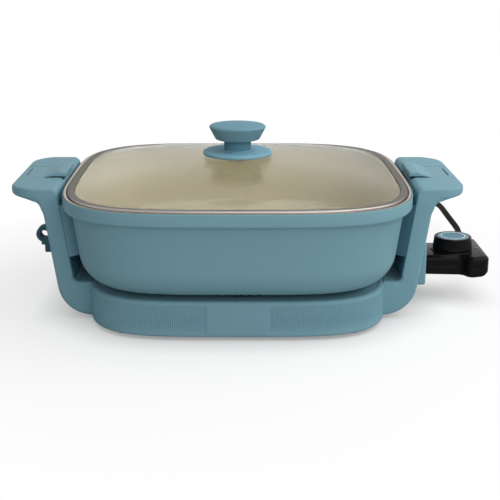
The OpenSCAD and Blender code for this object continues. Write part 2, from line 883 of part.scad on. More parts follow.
// Heat guard disc with the neck that carries the knob
module knob_guard() {
    edge = 1;
    bore = knob_screw_r + 0.1;
    color(teal) translate([0, 0, guard_disc_z]) rotate_extrude() polygon([
        [bore, 0], [guard_disc_r - edge, 0], [guard_disc_r, edge], [guard_disc_r, guard_disc_t - edge],
        [guard_disc_r - edge, guard_disc_t], [neck_r, guard_disc_t], [neck_r, guard_disc_t + neck_h],
        [bore, guard_disc_t + neck_h]
    ]);
}

// Inverted cone knob with a shallow crown
module lid_knob() {
    edge = 1.5;
    depth = knob_h - 2;
    color(teal) translate([0, 0, knob_z]) difference() {
        rotate_extrude() polygon(concat(
            [[0, 0], [knob_base_r - edge, 0], [knob_base_r, edge], [knob_r, knob_h - knob_dome - edge]],
            [for (i = [0 : 4]) [(knob_r - edge / 2) * (1 - i / 4), knob_h - knob_dome * pow(1 - i / 4, 2)]]
        ));
        bar_z(knob_screw_r + 0.05, -through, depth);
    }
}

// Screw from inside the lid through the glass into the knob
module knob_screw() {
    low = glass_top - glass_t - gasket_t - 1;
    color(steel) {
        bar_z(5, low - 2.4, low);
        bar_z(knob_screw_r, low - 2.4, knob_z + knob_h - 4);
    }
}

module knob_washer() {
    high = glass_top - glass_t - gasket_t;
    color(rubber) difference() {
        bar_z(10, high - 1, high);
        bar_z(knob_screw_r + 0.1, high - 2, high + through);
    }
}

// Plan of the control housing: a narrow neck that flares into a wide head through two equal
// arcs, drawn in by a margin
function control_plan(inset) = let (
    neck = neck_w / 2,
    head = head_w / 2,
    turn = 2 * atan((head - neck) / flare_l),
    r = flare_l / 2 / sin(turn),
    flare_x = [head_x - flare_l / 2, head_x + flare_l / 2],
    steps = 5,
    next = turn * (1 - 1 / steps),
    back_x = control_end - head_corner_r
) concat(
    [[control_x + inset, inset - neck]],
    arc([flare_x[0], -neck - r], r + inset, 90, 90 - turn, steps),
    arc([flare_x[1], r - head], r - inset, 270 - next, 270, steps - 1),
    arc([back_x, head_corner_r - head], head_corner_r - inset, 270, 360, 6),
    arc([back_x, head - head_corner_r], head_corner_r - inset, 0, 90, 6),
    arc([flare_x[1], head - r], r - inset, 90, 90 + next, steps - 1),
    arc([flare_x[0], neck + r], r + inset, turn - 90, -90, steps),
    [[control_x + inset, neck - inset]]
);

module control_slab(inset, z0, z1) {
    translate([0, 0, z0]) linear_extrude(height = z1 - z0) polygon(control_plan(inset));
}

// Places of the housing screws
module at_control_bosses() {
    for (i = [0, 1], side = [-1, 1])
        translate([boss_xs[i], side * boss_ys[i], 0]) children();
}

// Openings of both housing halves: the contact block's window and the strain relief's hole
module control_cuts() {
    box([control_x - through, -block_w / 2 - fit, control_z + control_wall],
        [control_x + control_wall + through, block_w / 2 + fit, control_top - control_wall]);
    bar_y(relief_waist_r + fit, cord_x, head_w / 2 - 5, head_w / 2 + through, cord_z);
}

module control_lower() {
    color(black) difference() {
        union() {
            difference() {
                control_slab(0, control_z, split_z);
                control_slab(control_wall, control_z + control_wall, split_z + through);
            }
            at_control_bosses() bar_z(control_boss_r, control_z, split_z);
        }
        control_cuts();
        at_control_bosses() {
            bar_z(control_screw_r + fit, control_z - through, split_z + through);
            bar_z(control_head_r + fit, control_z - through, control_z + control_wall - 0.4);
        }
    }
}

module control_upper() {
    color(black) difference() {
        union() {
            difference() {
                control_slab(0, split_z, control_top);
                control_slab(control_wall, split_z - through, control_top - control_wall);
            }
            at_control_bosses() bar_z(control_boss_r, split_z, control_top - control_wall + fit);
            translate([dial_x, 0, 0]) bar_z(plateau_r, control_top - fit, control_top + plateau_h);
        }
        control_cuts();
        at_control_bosses() bar_z(control_screw_r, split_z - through, split_z + 5);
        translate([dial_x, 0, 0]) bar_z(shaft_r + 0.08, split_z, control_top + 10);
        lens_block(fit, control_top - control_wall - through, control_top + through);
    }
}

// Rounded rectangle at the indicator's place
module lens_block(grow, z0, z1) {
    half = lens_size / 2 + [grow, grow];
    translate([lens_xy[0], lens_xy[1], 0])
        box([-half[0], -half[1], z0], [half[0], half[1], z1]);
}

module indicator_lens() {
    ceiling = control_top - control_wall - fit;
    color([0.75, 0.06, 0.05]) {
        lens_block(0, ceiling - lens_lip, control_top + 0.6);
        lens_block(lens_lip, ceiling - lens_lip, ceiling);
    }
}

module indicator_lamp() {
    high = control_top - control_wall - fit * 2 - lens_lip;
    color([0.95, 0.75, 0.55]) translate([lens_xy[0], lens_xy[1], 0])
        bar_z(1.9, control_z + control_wall + fit, high);
}

// Insulating block at the mouth of the control
module contact_block() {
    x = [control_x + 0.4, control_x + 0.4 + block_l];
    color(ceramic) difference() {
        box([x[0], -block_w / 2, control_z + control_wall + fit],
            [x[1], block_w / 2, control_top - control_wall - fit]);
        bar_x(probe_r + 0.05, x[0] - through, x[1] + through, 0, probe_z);
        for (y = [-pin_y, pin_y])
            bar_x(pin_r + slip + sleeve_wall + 0.05, x[0] - through, x[1] - 2, y, probe_z);
    }
}

module contact_sleeves() {
    x = [control_x + 0.6, control_x + block_l - 2];
    color([0.80, 0.62, 0.30]) for (y = [-pin_y, pin_y]) difference() {
        bar_x(pin_r + slip + sleeve_wall, x[0], x[1], y, probe_z);
        bar_x(pin_r + slip, x[0] - through, x[1] + through, y, probe_z);
    }
}

// Temperature probe with a rounded tip
module probe_rod() {
    tip = control_x - probe_l;
    color(steel) {
        bar_x(probe_r, tip + probe_r, control_x + block_l, 0, probe_z);
        translate([tip + probe_r, 0, probe_z]) sphere(r = probe_r);
    }
}

// Thermostat switch under the dial
module thermostat() {
    x = control_x + block_l + 0.8;
    high = control_top - control_wall - 1.3;
    color([0.55, 0.42, 0.30]) difference() {
        box([x, -thermostat_w / 2, control_z + control_wall + fit],
            [x + thermostat_l, thermostat_w / 2, high]);
        translate([dial_x, 0, 0]) bar_z(shaft_r + 0.08, high - 4.5, high + through);
    }
}

module housing_screws() {
    head = control_z + 0.3;
    color(steel) at_control_bosses() {
        bar_z(control_head_r, head, head + 1.4);
        bar_z(control_screw_r - 0.05, head, split_z + 4);
    }
}

// Tapered sleeve where the cord leaves the control
module strain_relief() {
    wall_y = head_w / 2;
    flange_y = wall_y - control_wall - relief_flange_gap;
    color(rubber) {
        bar_y(relief_flange_r, cord_x, flange_y - relief_flange_t, flange_y, cord_z);
        bar_y(relief_waist_r, cord_x, flange_y - relief_flange_t, wall_y + 1, cord_z);
        bar_y(relief_r, cord_x, wall_y + fit, wall_y + 3, cord_z);
        bar_y(relief_r, cord_x, wall_y + 3, relief_end, cord_z, cord_d / 2 + 0.4);
    }
}

// Rings of a tube along a path: each ring is square to the path at its point
function direction(path, i) = let (
    last = len(path) - 1,
    d = path[min(last, i + 1)] - path[max(0, i - 1)]
) d / norm(d);
function tube_ring(centre, d, r, sides) = let (
    flat = cross([0, 0, 1], d),
    u = flat / norm(flat),
    v = cross(d, u)
) [for (k = [0 : sides - 1]) centre + r * (cos(360 * k / sides) * u + sin(360 * k / sides) * v)];
function tube_rings(path, r, sides) = [
    for (i = [0 : len(path) - 1]) tube_ring(path[i], direction(path, i), r, sides)
];

// Turns of the coil: the spiral runs in on the table, climbs a layer in half a turn and runs out again
function coil_point(turn) = let (
    angle = 90 + 360 * (turn + coil_turns / 2),
    r = coil_r + coil_step * abs(turn),
    layer = max(0, min(1, 0.5 + 2 * turn))
) [coil_xy[0] + r * cos(angle), coil_xy[1] + r * sin(angle), coil_z + coil_step * layer];
coil_steps = coil_turns * coil_rings;
coil_top_y = coil_xy[1] + coil_end_r;
coil_path = concat(
    [[coil_xy[0] + cord_d, coil_top_y, coil_z]],
    [for (i = [0 : coil_steps]) coil_point(-coil_turns / 2 + i / coil_rings)],
    [[coil_xy[0] - coil_tail, coil_top_y, coil_z + coil_step]]
);

// Free stretch of the cord, with its last points lined up with the coil's entry
cord_path = concat(
    cord_route,
    [[coil_xy[0] + 3 * cord_d, coil_top_y, coil_z], [coil_xy[0] + cord_d, coil_top_y, coil_z]]
);

// Least gap of the coil to itself, between points more than half a turn apart
coil_gap = min([
    for (i = [0 : len(coil_path) - 1], j = [i + coil_rings / 2 : 1 : len(coil_path) - 1])
        norm(coil_path[i] - coil_path[j]) - cord_d
]);
function path_length(path, i = 0) =
    i >= len(path) - 1 ? 0 : norm(path[i + 1] - path[i]) + path_length(path, i + 1);
echo(coil_gap = coil_gap, cord_length = path_length(cord_path) + path_length(coil_path));

module power_cord() {
    color(black) ring_stack(tube_rings(cord_path, cord_d / 2, cord_sides));
}

module cord_coil() {
    color(black) ring_stack(tube_rings(coil_path, cord_d / 2, 6));
}

// Strap around the turns on the coil's near side
module cord_tie() {
    strap_t = 0.9;
    strap_w = 8;
    y = coil_xy[1] - coil_r - coil_step / 2;
    half = cord_d / 2 + 0.6;
    z = [coil_z - half, coil_z + coil_step + half];
    color(rubber) translate([coil_xy[0], y, 0]) difference() {
        box([-strap_w / 2, -half - strap_t, max(0.1, z[0] - strap_t)],
            [strap_w / 2, half + strap_t, z[1] + strap_t]);
        box([-strap_w, -half, z[0]], [strap_w, half, z[1]]);
    }
}

// Two-blade plug lying on the table beside the coil
module plug_body() {
    half = plug_size / 2;
    color(black) translate([0, coil_top_y, plug_z]) difference() {
        union() {
            box([plug_x - plug_size[0], -half[1], -half[2]], [plug_x, half[1], half[2]]);
            translate([plug_x, 0, 0]) rotate([0, 90, 0])
                cylinder(r1 = half[2] * 0.7, r2 = cord_d / 2 + 0.6, h = plug_nose_l);
        }
        for (y = [-blade_pitch / 2, blade_pitch / 2])
            translate([plug_x - plug_size[0], y, 0])
                cube([12, blade_size[1] + 0.1, blade_size[2] + 0.1], center = true);
    }
}

module plug_blades() {
    x = plug_x - plug_size[0];
    color(steel) for (y = [-blade_pitch / 2, blade_pitch / 2])
        translate([x - blade_size[0] / 2 + 5.8, coil_top_y + y, plug_z])
            cube([blade_size[0] + 0.2, blade_size[1], blade_size[2]], center = true);
}

// Ribbed dial: a hollow skirt with a recess for the marked insert
dial_z = control_top + plateau_h + slip;
dial_flare = 1.2;
insert_t = 1.2;
module dial_knob() {
    top = dial_h;
    shelf = top - insert_t;
    insert_r = dial_r - 1.5;
    bore = shaft_r + 0.02;
    color(black) translate([dial_x, 0, dial_z]) rotate_extrude() polygon([
        [bore, 1.4], [insert_r - 1.5, 1.4], [insert_r - 1.5, 0], [dial_r + dial_flare, 0],
        [dial_r + fit, top - 0.8], [dial_r - 0.6, top], [insert_r + fit, top],
        [insert_r + fit, shelf], [bore, shelf]
    ]);
}

module dial_insert() {
    color(teal) translate([dial_x, 0, dial_z]) bar_z(dial_r - 1.5, dial_h - insert_t + 0.05, dial_h + 0.05);
}

module dial_shaft() {
    high = control_top - control_wall - 1.3;
    color(steel) translate([dial_x, 0, 0]) bar_z(shaft_r, high - 4, dial_z + dial_h - insert_t);
}

base_shell();
base_well();
base_floor();
rubber_feet();
base_screws();
upright_screws();
left_upright();
right_upright();
left_liner();
right_liner();
left_guides();
right_guides();
storage_loop();
pin_guard();
heat_shield();
pan_rests();
terminal_block();
terminal_pins();
left_latch();
left_latch_keeper();
right_latch();
right_latch_keeper();
pan_body();
heating_element();
element_clips();
terminal_hood();
pan_contacts();
lid_glass();
lid_band();
knob_gasket();
knob_guard();
lid_knob();
knob_screw();
knob_washer();
control_lower();
control_upper();
contact_block();
contact_sleeves();
probe_rod();
thermostat();
indicator_lens();
indicator_lamp();
housing_screws();
strain_relief();
power_cord();
cord_coil();
cord_tie();
plug_body();
plug_blades();
dial_knob();
dial_insert();
dial_shaft();
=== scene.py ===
"""Looks of an electric skillet: finished surfaces over its packed construction.

Sizes are in millimetres, as in the construction, and turn into metres when a mesh is made.
"""

import logging
import math
from collections.abc import Sequence
from dataclasses import dataclass
from enum import Enum
from functools import cache

import bmesh
import bpy
import numpy as np
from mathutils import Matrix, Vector


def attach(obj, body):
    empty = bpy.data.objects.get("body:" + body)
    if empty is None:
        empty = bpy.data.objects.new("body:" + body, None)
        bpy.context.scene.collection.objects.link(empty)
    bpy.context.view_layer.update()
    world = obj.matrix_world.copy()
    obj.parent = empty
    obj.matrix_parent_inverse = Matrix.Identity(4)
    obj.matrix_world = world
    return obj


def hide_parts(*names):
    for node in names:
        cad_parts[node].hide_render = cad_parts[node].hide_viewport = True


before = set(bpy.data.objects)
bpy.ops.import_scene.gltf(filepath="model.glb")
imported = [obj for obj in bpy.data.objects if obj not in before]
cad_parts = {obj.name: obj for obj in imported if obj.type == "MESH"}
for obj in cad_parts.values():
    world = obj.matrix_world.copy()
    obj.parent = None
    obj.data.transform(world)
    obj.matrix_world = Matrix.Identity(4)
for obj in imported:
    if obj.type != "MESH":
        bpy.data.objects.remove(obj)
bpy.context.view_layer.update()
LOG = logging.getLogger("skillet")
MM = 0.001
TURN = 2 * math.pi
INF = math.inf

Array = np.ndarray
Colour = tuple[int, int, int]
Pair = tuple[float, float]
Triple = tuple[float, float, float]

# Construction values that several pieces share
DRAFT = math.radians(8.4)
SLOPE = math.degrees(DRAFT)
CORNER, CORNER_R = (110.411, 67.0), 30.0
INNER, OUTER = 37.518, 52.718
TIP_X, HANDLE_TOP = 198.0, 118.0
PAN_POWER, BASE_POWER = 3.9, 4.2
BASE_HALF, BASE_NARROW, BASE_TOP = 132.0, 5.0, 34.5
DIAL_AXIS = (201.93, 0.0)
RIM_POINTS = 288

# Values that all finishes share
ROUGHNESS_SWING, COAT_ROUGHNESS = 0.1, 0.08
RELIEF_SCALE, RELIEF_STRENGTH = 2200.0, 0.35


class Body(str, Enum):
    """Moving bodies of the object."""

    BASE = "base"
    LEFT_LATCH = "left_latch"
    RIGHT_LATCH = "right_latch"
    PAN = "pan"
    LID = "lid"
    CONTROL = "control"
    DIAL = "dial"


class Side(Enum):
    """Which side of the object a piece stands on; the value is the sign of X."""

    LEFT = -1
    RIGHT = 1


class Slot(str, Enum):
    """Material slots of the record."""

    BASE = "base_plastic"
    INNER = "inner_plastic"
    KNOB = "knob_plastic"
    PAN = "pan_coating"
    GLASS = "lid_glass"
    BAND = "lid_steel"
    STEEL = "steel"
    SHEATH = "element_sheath"
    BRASS = "brass"
    INSULATOR = "insulator"
    HOOD = "hood_plastic"
    CONTROL = "control_plastic"
    DIAL = "dial_face"
    RED = "indicator_red"
    LAMP = "lamp_glass"
    CORD = "cord_jacket"
    RUBBER = "rubber"
    SILICONE = "silicone"


@dataclass
class Socket:
    """One output in a shader graph; arithmetic on it adds Math nodes."""

    graph: "Graph"
    output: bpy.types.NodeSocket | None

    def pick(self, name: str) -> "Socket":
        """Another output of the same node, by its name."""
        return Socket(self.graph, self.output.node.outputs[name])

    def math(self, operation: str, *operands: "Value") -> "Socket":
        """A Math node, from Blender's name of the operation and its operands in order."""
        return self.graph.node("Math", *operands, settings={"operation": operation})

    def __add__(self, other: "Value") -> "Socket":
        """This socket plus a value."""
        return self.math("ADD", self, other)

    def __radd__(self, other: "Value") -> "Socket":
        """A value plus this socket."""
        return self.math("ADD", other, self)

    def __sub__(self, other: "Value") -> "Socket":
        """This socket less a value."""
        return self.math("SUBTRACT", self, other)

    def __rsub__(self, other: "Value") -> "Socket":
        """A value less this socket."""
        return self.math("SUBTRACT", other, self)

    def __mul__(self, other: "Value") -> "Socket":
        """This socket times a value."""
        return self.math("MULTIPLY", self, other)

    def __rmul__(self, other: "Value") -> "Socket":
        """A value times this socket."""
        return self.math("MULTIPLY", other, self)

    def __pow__(self, other: "Value") -> "Socket":
        """This socket to the power of a value."""
        return self.math("POWER", self, other)

    def __rpow__(self, other: "Value") -> "Socket":
        """A value to the power of this socket."""
        return self.math("POWER", other, self)

    def __abs__(self) -> "Socket":
        """This socket without its sign."""
        return self.math("ABSOLUTE", self)


Value = Socket | float | tuple[float, ...]


class Graph:
    """The shader graph of a material or a world; it starts empty."""

    def __init__(self, owner: bpy.types.Material | bpy.types.World) -> None:
        """Turns on the owner's nodes and clears them.

        Args:
            owner: Material or world whose graph it is.
        """
        owner.use_nodes = True
        self.tree = owner.node_tree
        self.tree.nodes.clear()

    def node(self, kind: str, *ordered: Value, settings: dict[str, object] | None = None,
             **named: Value) -> Socket:
        """Adds a node.

        Args:
            kind: Blender's node type, less its ShaderNode.
            ordered: Inputs by their place.
            settings: Properties of the node.
            named: Inputs by name, with underscores for spaces.

        Returns:
            The node's first output, or an empty one for an output node.
        """
        made = self.tree.nodes.new("ShaderNode" + kind)
        for key, setting in (settings or {}).items():
            setattr(made, key, setting)
        pairs = list(zip(made.inputs, ordered))
        pairs += [(made.inputs[key.replace("_", " ")], value) for key, value in named.items()]
        for socket, value in pairs:
            if isinstance(value, Socket):
                self.tree.links.new(value.output, socket)
            else:
                socket.default_value = value
        return Socket(self, made.outputs[0] if made.outputs else None)

    def place(self) -> Socket:
        """Object coordinates in metres."""
        return self.node("TexCoord").pick("Object")

    def ramp(self, factor: Socket, low: tuple[float, ...], high: tuple[float, ...]) -> Socket:
        """A colour that runs from low to high.

        Args:
            factor: Position from 0 to 1.
            low: Linear colour at 0.
            high: Linear colour at 1.

        Returns:
            The colour.
        """
        colour = self.node("ValToRGB", factor)
        stops = colour.output.node.color_ramp.elements
        stops[0].color, stops[1].color = low, high
        return colour


def linear(colour: Colour, gain: float = 1.0) -> tuple[float, ...]:
    """Linear colour of an sRGB colour.

    Args:
        colour: Red, green and blue from 0 to 255.
        gain: Factor on the linear values.

    Returns:
        Red, green, blue and alpha.
    """
    share = np.asarray(colour) / 255
    value = np.where(share <= 0.04045, share / 12.92, ((share + 0.055) / 1.055) ** 2.4)
    return (*np.clip(value * gain, 0, 1).tolist(), 1.0)


@dataclass(frozen=True)
class Finish:
    """An even finish with a fine grain: patches of colour and roughness, and a shallow relief."""

    name: str
    slot: Slot
    colour: Colour
    roughness: float
    metallic: float = 0.0
    coat: float = 0.0
    mottle: float = 0.03
    grain_mm: float = 5.0
    relief_mm: float = 0.0
    specular: float = 0.03
    edge: float = 1.0

    @cache
    def material(self) -> bpy.types.Material:
        """The finish as a material, made once.

        Returns:
            The material.
        """
        made = bpy.data.materials.new(self.name)
        graph = Graph(made)
        graph.node("OutputMaterial", self.shader(graph))
        return made

    def grain(self, graph: Graph) -> Socket:
        """Noise from 0 to 1 that the patches follow."""
        return graph.node("TexNoise", Vector=graph.place(), Scale=1 / (self.grain_mm * MM),
                          Detail=3.0)

    def shader(self, graph: Graph) -> Socket:
        """The surface shader.

        Args:
            graph: Graph to add to.

        Returns:
            The shader.
        """
        grain = self.grain(graph)
        inputs: dict[str, Value] = {
            "Base_Color": graph.ramp(grain, linear(self.colour, 1 - self.mottle),
                                     linear(self.colour, 1 + self.mottle)),
            "Roughness": grain * ROUGHNESS_SWING + (self.roughness - ROUGHNESS_SWING / 2),
            "Metallic": self.metallic,
            "Coat_Weight": self.coat,
            "Coat_Roughness": COAT_ROUGHNESS,
            "Specular_IOR_Level": self.specular,
            "Specular_Tint": (self.edge,) * 3 + (1.0,),
        }
        if self.relief_mm:
            fine = graph.node("TexNoise", Vector=graph.place(), Scale=RELIEF_SCALE, Detail=2.0)
            inputs["Normal"] = graph.node("Bump", Strength=RELIEF_STRENGTH,
                                          Distance=self.relief_mm * MM, Height=fine)
        return graph.node("BsdfPrincipled", **inputs)


@dataclass(frozen=True)
class Moulded(Finish):
    """Satin plastic with the fine relief of its mould."""

    roughness: float = 0.5
    relief_mm: float = 0.02


@dataclass(frozen=True)
class Brushed(Finish):
    """Steel with brush lines that run along the lid's outline, at even superellipse distance."""

    def grain(self, graph: Graph) -> Socket:
        """Noise over rho = (|x|^n + |y|^n)^(1/n), which is constant along the outline.

        Args:
            graph: Graph to add to.

        Returns:
            The noise.
        """
        place = graph.node("SeparateXYZ", graph.place())
        powers = abs(place) ** PAN_POWER + abs(place.pick("Y")) ** PAN_POWER
        rho = powers ** (1 / PAN_POWER)
        return graph.node("TexNoise", settings={"noise_dimensions": "1D"},
                          W=rho * (1 / (self.grain_mm * MM)), Detail=4.0)


@dataclass(frozen=True)
class Glass(Finish):
    """Clear glass that lets lamplight through to what is behind it."""

    ior: float = 1.1
    clear: float = 0.4
    clear_tone: float = 0.94

    def shader(self, graph: Graph) -> Socket:
        """A glass surface, partly clear to keep its mirror soft, and all clear on rays from lamps.

        Args:
            graph: Graph to add to.

        Returns:
            The shader.
        """
        glass = graph.node("BsdfPrincipled", Base_Color=linear(self.colour),
                           Roughness=self.roughness, Transmission_Weight=1.0, IOR=self.ior)
        clear = graph.node("BsdfTransparent", linear(self.colour, self.clear_tone))
        shadow = graph.node("LightPath").pick("Is Shadow Ray")
        return graph.node("MixShader", shadow.math("MAXIMUM", shadow, self.clear), glass, clear)


class Finishes:
    """Every finish of the object."""

    TEAL = Moulded("teal_satin", Slot.BASE, (121, 161, 174), 0.46)
    LATCH = Moulded("teal_latch", Slot.BASE, (122, 161, 173), 0.44)
    DARK_TEAL = Moulded("teal_inner", Slot.INNER, (108, 146, 159))
    # Painted light and shade: the left guides are a lighter teal as painted light, the right guides
    # a darker teal as painted shade; one material in lit and shaded copies.
    GUIDES_PAINTED_LIGHT_AND_SHADE = {Side.LEFT: Moulded("teal_guide_left_painted_light", Slot.INNER, (132, 174, 188)),
              Side.RIGHT: Moulded("teal_guide_right_painted_shade", Slot.INNER, (78, 118, 133))}
    # Painted light: the liners are a brighter, bluer copy of the inner teal that stands in for
    # light bounced into their shaded hollow.
    LINER_PAINTED_LIGHT = Moulded("teal_liner_painted_light", Slot.INNER, (98, 160, 182))
    # Painted shade: the hang loop is a darker teal because it sits in shade beside the upright.
    LOOP_PAINTED_SHADE = Moulded("teal_loop_painted_shade", Slot.INNER, (76, 110, 121))
    KNOB = Moulded("teal_knob", Slot.KNOB, (112, 154, 170), 0.52)
    # Painted light and shade on the knob's heat guard: its disc is a lighter teal that makes up for
    # the knob's shade, and its neck is a darker teal as painted shade under the knob.
    GUARD_PAINTED_LIGHT = Moulded("teal_guard_painted_light", Slot.KNOB, (124, 170, 188))
    NECK_PAINTED_SHADE = Moulded("teal_neck_painted_shade", Slot.KNOB, (92, 134, 149))
    COATING = Finish("pan_coating_teal", Slot.PAN, (122, 162, 173), 0.4, mottle=0.015)
    LIP = Finish("pan_lip_metal", Slot.PAN, (176, 166, 156), 0.34, metallic=0.85, mottle=0.05)
    CERAMIC = Finish("pan_ceramic", Slot.PAN, (184, 166, 137), 0.38, coat=0.2, mottle=0.06,
                     grain_mm=1.6)
    GLASS = Glass("clear_glass", Slot.GLASS, (246, 250, 247), 0.0)
    BAND = Brushed("brushed_band", Slot.BAND, (166, 162, 157), 0.34, metallic=0.9, mottle=0.1,
                   grain_mm=0.16, edge=0.2)
    STEEL = Finish("plated_steel", Slot.STEEL, (205, 205, 206), 0.28, metallic=1.0)
    SHEATH = Finish("heater_sheath", Slot.SHEATH, (96, 92, 88), 0.5, metallic=0.6, mottle=0.12)
    BRASS = Finish("bright_brass", Slot.BRASS, (214, 178, 108), 0.3, metallic=1.0)
    INSULATOR = Finish("dry_insulator", Slot.INSULATOR, (206, 197, 178), 0.7)
    HOOD = Finish("heat_proof_black", Slot.HOOD, (48, 48, 48), 0.6)
    BLACK = Finish("gloss_black", Slot.CONTROL, (15, 14, 15), 0.22, mottle=0.05, specular=0.075)
    RIBBED = Finish("dial_black", Slot.CONTROL, (14, 13, 14), 0.3, mottle=0.05, specular=0.08)
    DIAL = Finish("dial_teal", Slot.DIAL, (100, 140, 155), 0.35)
    DIAL_RING = Finish("dial_ring", Slot.DIAL, (122, 153, 165), 0.32)
    PRINT = Finish("dial_print", Slot.DIAL, (226, 236, 240), 0.5, mottle=0.0)
    RED = Finish("lens_red", Slot.RED, (120, 44, 38), 0.22, coat=0.4)
    LAMP = Finish("lamp_amber", Slot.LAMP, (240, 205, 170), 0.15)
    CORD = Finish("cord_black", Slot.CORD, (20, 19, 19), 0.5, specular=0.02)
    RUBBER = Finish("black_rubber", Slot.RUBBER, (36, 36, 37), 0.75, specular=0.25)
    SILICONE = Finish("grey_silicone", Slot.SILICONE, (70, 72, 73), 0.6)


def lean_x(distance: float, z: Array | float) -> Array | float:
    """X of a line along the pan wall, d from CORNER: cx + (d + (z - cz) sin a) / cos a."""
    return CORNER[0] + (distance + (z - CORNER[1]) * math.sin(DRAFT)) / math.cos(DRAFT)


def lean(distance: float, z: Array | float) -> Array:
    """X and Z of the line of lean_x at the given heights."""
    return np.stack([lean_x(distance, z), z], axis=-1)


def join(*runs: Array | Sequence[Sequence[float]]) -> Array:
    """Runs of points one after the other."""
    return np.concatenate(runs)


def climb(values: Array, start: float, end: float) -> Array:
    """Share of the way from start to end, held at 0 and 1: (v - start) / (end - start)."""
    return np.clip((values - start) / (end - start), 0, 1)


def around(count: int) -> Array:
    """Even angles of one turn, in radians."""
    return np.linspace(0, TURN, count, endpoint=False)


def arc(centre: Sequence[float], radius: float, start: float, end: float, steps: int = 8) -> Array:
    """Points of an arc, centre + r (cos t, sin t), t in degrees from start to end in steps."""
    t = np.radians(np.linspace(start, end, steps + 1))
    return np.asarray(centre) + radius * np.stack([np.cos(t), np.sin(t)], axis=-1)


def rounded(corners: Sequence[Triple], closed: bool = False, steps: int = 6) -> Array:
    """A polyline with round corners; each arc is tangent to the two lines at its corner.

    Args:
        corners: X, Y and radius of each corner.
        closed: Whether the line runs back to its start.
        steps: Chords per arc.

    Returns:
        Points of the line.
    """
    places = np.asarray(corners, dtype=float)[:, :2]
    runs = []
    for i, place in enumerate(places):
        radius = corners[i][2]
        if radius <= 0 or (not closed and i in (0, len(corners) - 1)):
            runs.append(place[None])
            continue
        back = places[i - 1] - place
        ahead = places[(i + 1) % len(corners)] - place
        back, ahead = back / np.linalg.norm(back), ahead / np.linalg.norm(ahead)
        half = 0.5 * math.acos(float(np.clip(back @ ahead, -1, 1)))
        middle = (back + ahead) / np.linalg.norm(back + ahead)
        centre = place + middle * radius / math.sin(half)
        first, last = (place + d * radius / math.tan(half) - centre for d in (back, ahead))
        start = math.degrees(math.atan2(first[1], first[0]))
        turn = (math.degrees(math.atan2(last[1], last[0])) - start + 180) % 360 - 180
        runs.append(arc(centre, radius, start, start + turn, steps))
    return join(*runs)


def box(low: Sequence[float], high: Sequence[float], *radii: float) -> Array:
    """A closed rectangle from low to high with round corners of one radius, or of four."""
    spots = (low, (high[0], low[1]), high, (low[0], high[1]))
    return rounded([(x, y, r) for (x, y), r in zip(spots, radii * (4 // len(radii)))], closed=True)


def normals(outline: Array) -> Array:
    """Inward unit normals of a closed outline, from the chord between each point's neighbours.

    Args:
        outline: Points, n by 2.

    Returns:
        Normals, n by 2.
    """
    ahead, back = np.roll(outline, -1, axis=0), np.roll(outline, 1, axis=0)
    along = ahead - back
    along /= np.linalg.norm(along, axis=1, keepdims=True)
    turn = np.sign(np.sum(outline[:, 0] * ahead[:, 1] - ahead[:, 0] * outline[:, 1]))
    return turn * np.stack([-along[:, 1], along[:, 0]], axis=-1)


def round_end(position: float, radius: float, steps: int = 5) -> Array:
    """Levels of a rounded end at position: inset = r (1 - cos t), level = p - r (1 - sin t).

    Args:
        position: Level of the end.
        radius: Radius of the edge; negative for an end that faces down.
        steps: Number of chords.

    Returns:
        Level and inset of each ring, by rising level.
    """
    t = np.linspace(0, math.pi / 2, steps + 1)
    levels = np.stack([position - radius * (1 - np.sin(t)), abs(radius) * (1 - np.cos(t))], axis=-1)
    return levels[::-1] if radius < 0 else levels


@dataclass(frozen=True)
class Recess:
    """A region of a skin that a build method moves: |y| under half, X and Z between two values."""

    half: float
    x: Pair = (-INF, INF)
    z: Pair = (-INF, INF)

    def holds(self, x: Array, y: Array, z: Array) -> Array:
        """Which points lie in the region, as a mask."""
        across = (np.abs(y) < self.half) & (x > self.x[0]) & (x < self.x[1])
        return across & (z > self.z[0]) & (z < self.z[1])


@dataclass
class Grid:
    """A skin of quads over points, rows by columns by 3, in millimetres."""

    points: Array
    loop_rows: bool = False
    paint: Array | None = None

    def faces(self, first: int) -> tuple[list[list[int]], list[int]]:
        """Faces and the number of the finish on each; a skin whose rows don't loop gets two caps.

        Args:
            first: Index of the grid's first point in the mesh.

        Returns:
            Faces and finish numbers.
        """
        rows, columns = self.points.shape[:2]
        index = first + np.arange(rows * columns).reshape(rows, columns)
        ahead = np.roll(index, -1, axis=1)
        above, above_ahead = np.roll(index, -1, axis=0), np.roll(ahead, -1, axis=0)
        quads = np.stack([index, ahead, above_ahead, above], axis=-1)
        quads = quads if self.loop_rows else quads[:-1]
        paint = np.zeros(len(quads), dtype=int) if self.paint is None else self.paint
        marks = np.repeat(paint, columns).tolist()
        made = quads.reshape(-1, 4).tolist()
        if not self.loop_rows:
            made += [index[0, ::-1].tolist(), index[-1].tolist()]
            marks += [int(paint[0]), int(paint[-1])]
        return made, marks


def mesh_of(name: str, grids: Sequence[Grid], sharp: float) -> bpy.types.Mesh:
    """One mesh of several skins, in metres.

    Args:
        name: Name of the mesh.
        grids: Skins.
        sharp: Angle in degrees over which an edge stays sharp.

    Returns:
        The mesh.
    """
    points, faces, marks = [], [], []
    count = 0
    for grid in grids:
        made, painted = grid.faces(count)
        faces += made
        marks += painted
        points.append(grid.points.reshape(-1, 3))
        count += len(points[-1])
    mesh = bpy.data.meshes.new(name)
    mesh.from_pydata((join(*points) * MM).tolist(), [], faces)
    mesh.polygons.foreach_set("material_index", marks)
    work = bmesh.new()
    work.from_mesh(mesh)
    bmesh.ops.recalc_face_normals(work, faces=work.faces)
    work.to_mesh(mesh)
    work.free()
    mesh.polygons.foreach_set("use_smooth", np.ones(len(mesh.polygons), dtype=bool))
    mesh.set_sharp_from_angle(angle=math.radians(sharp))
    return mesh


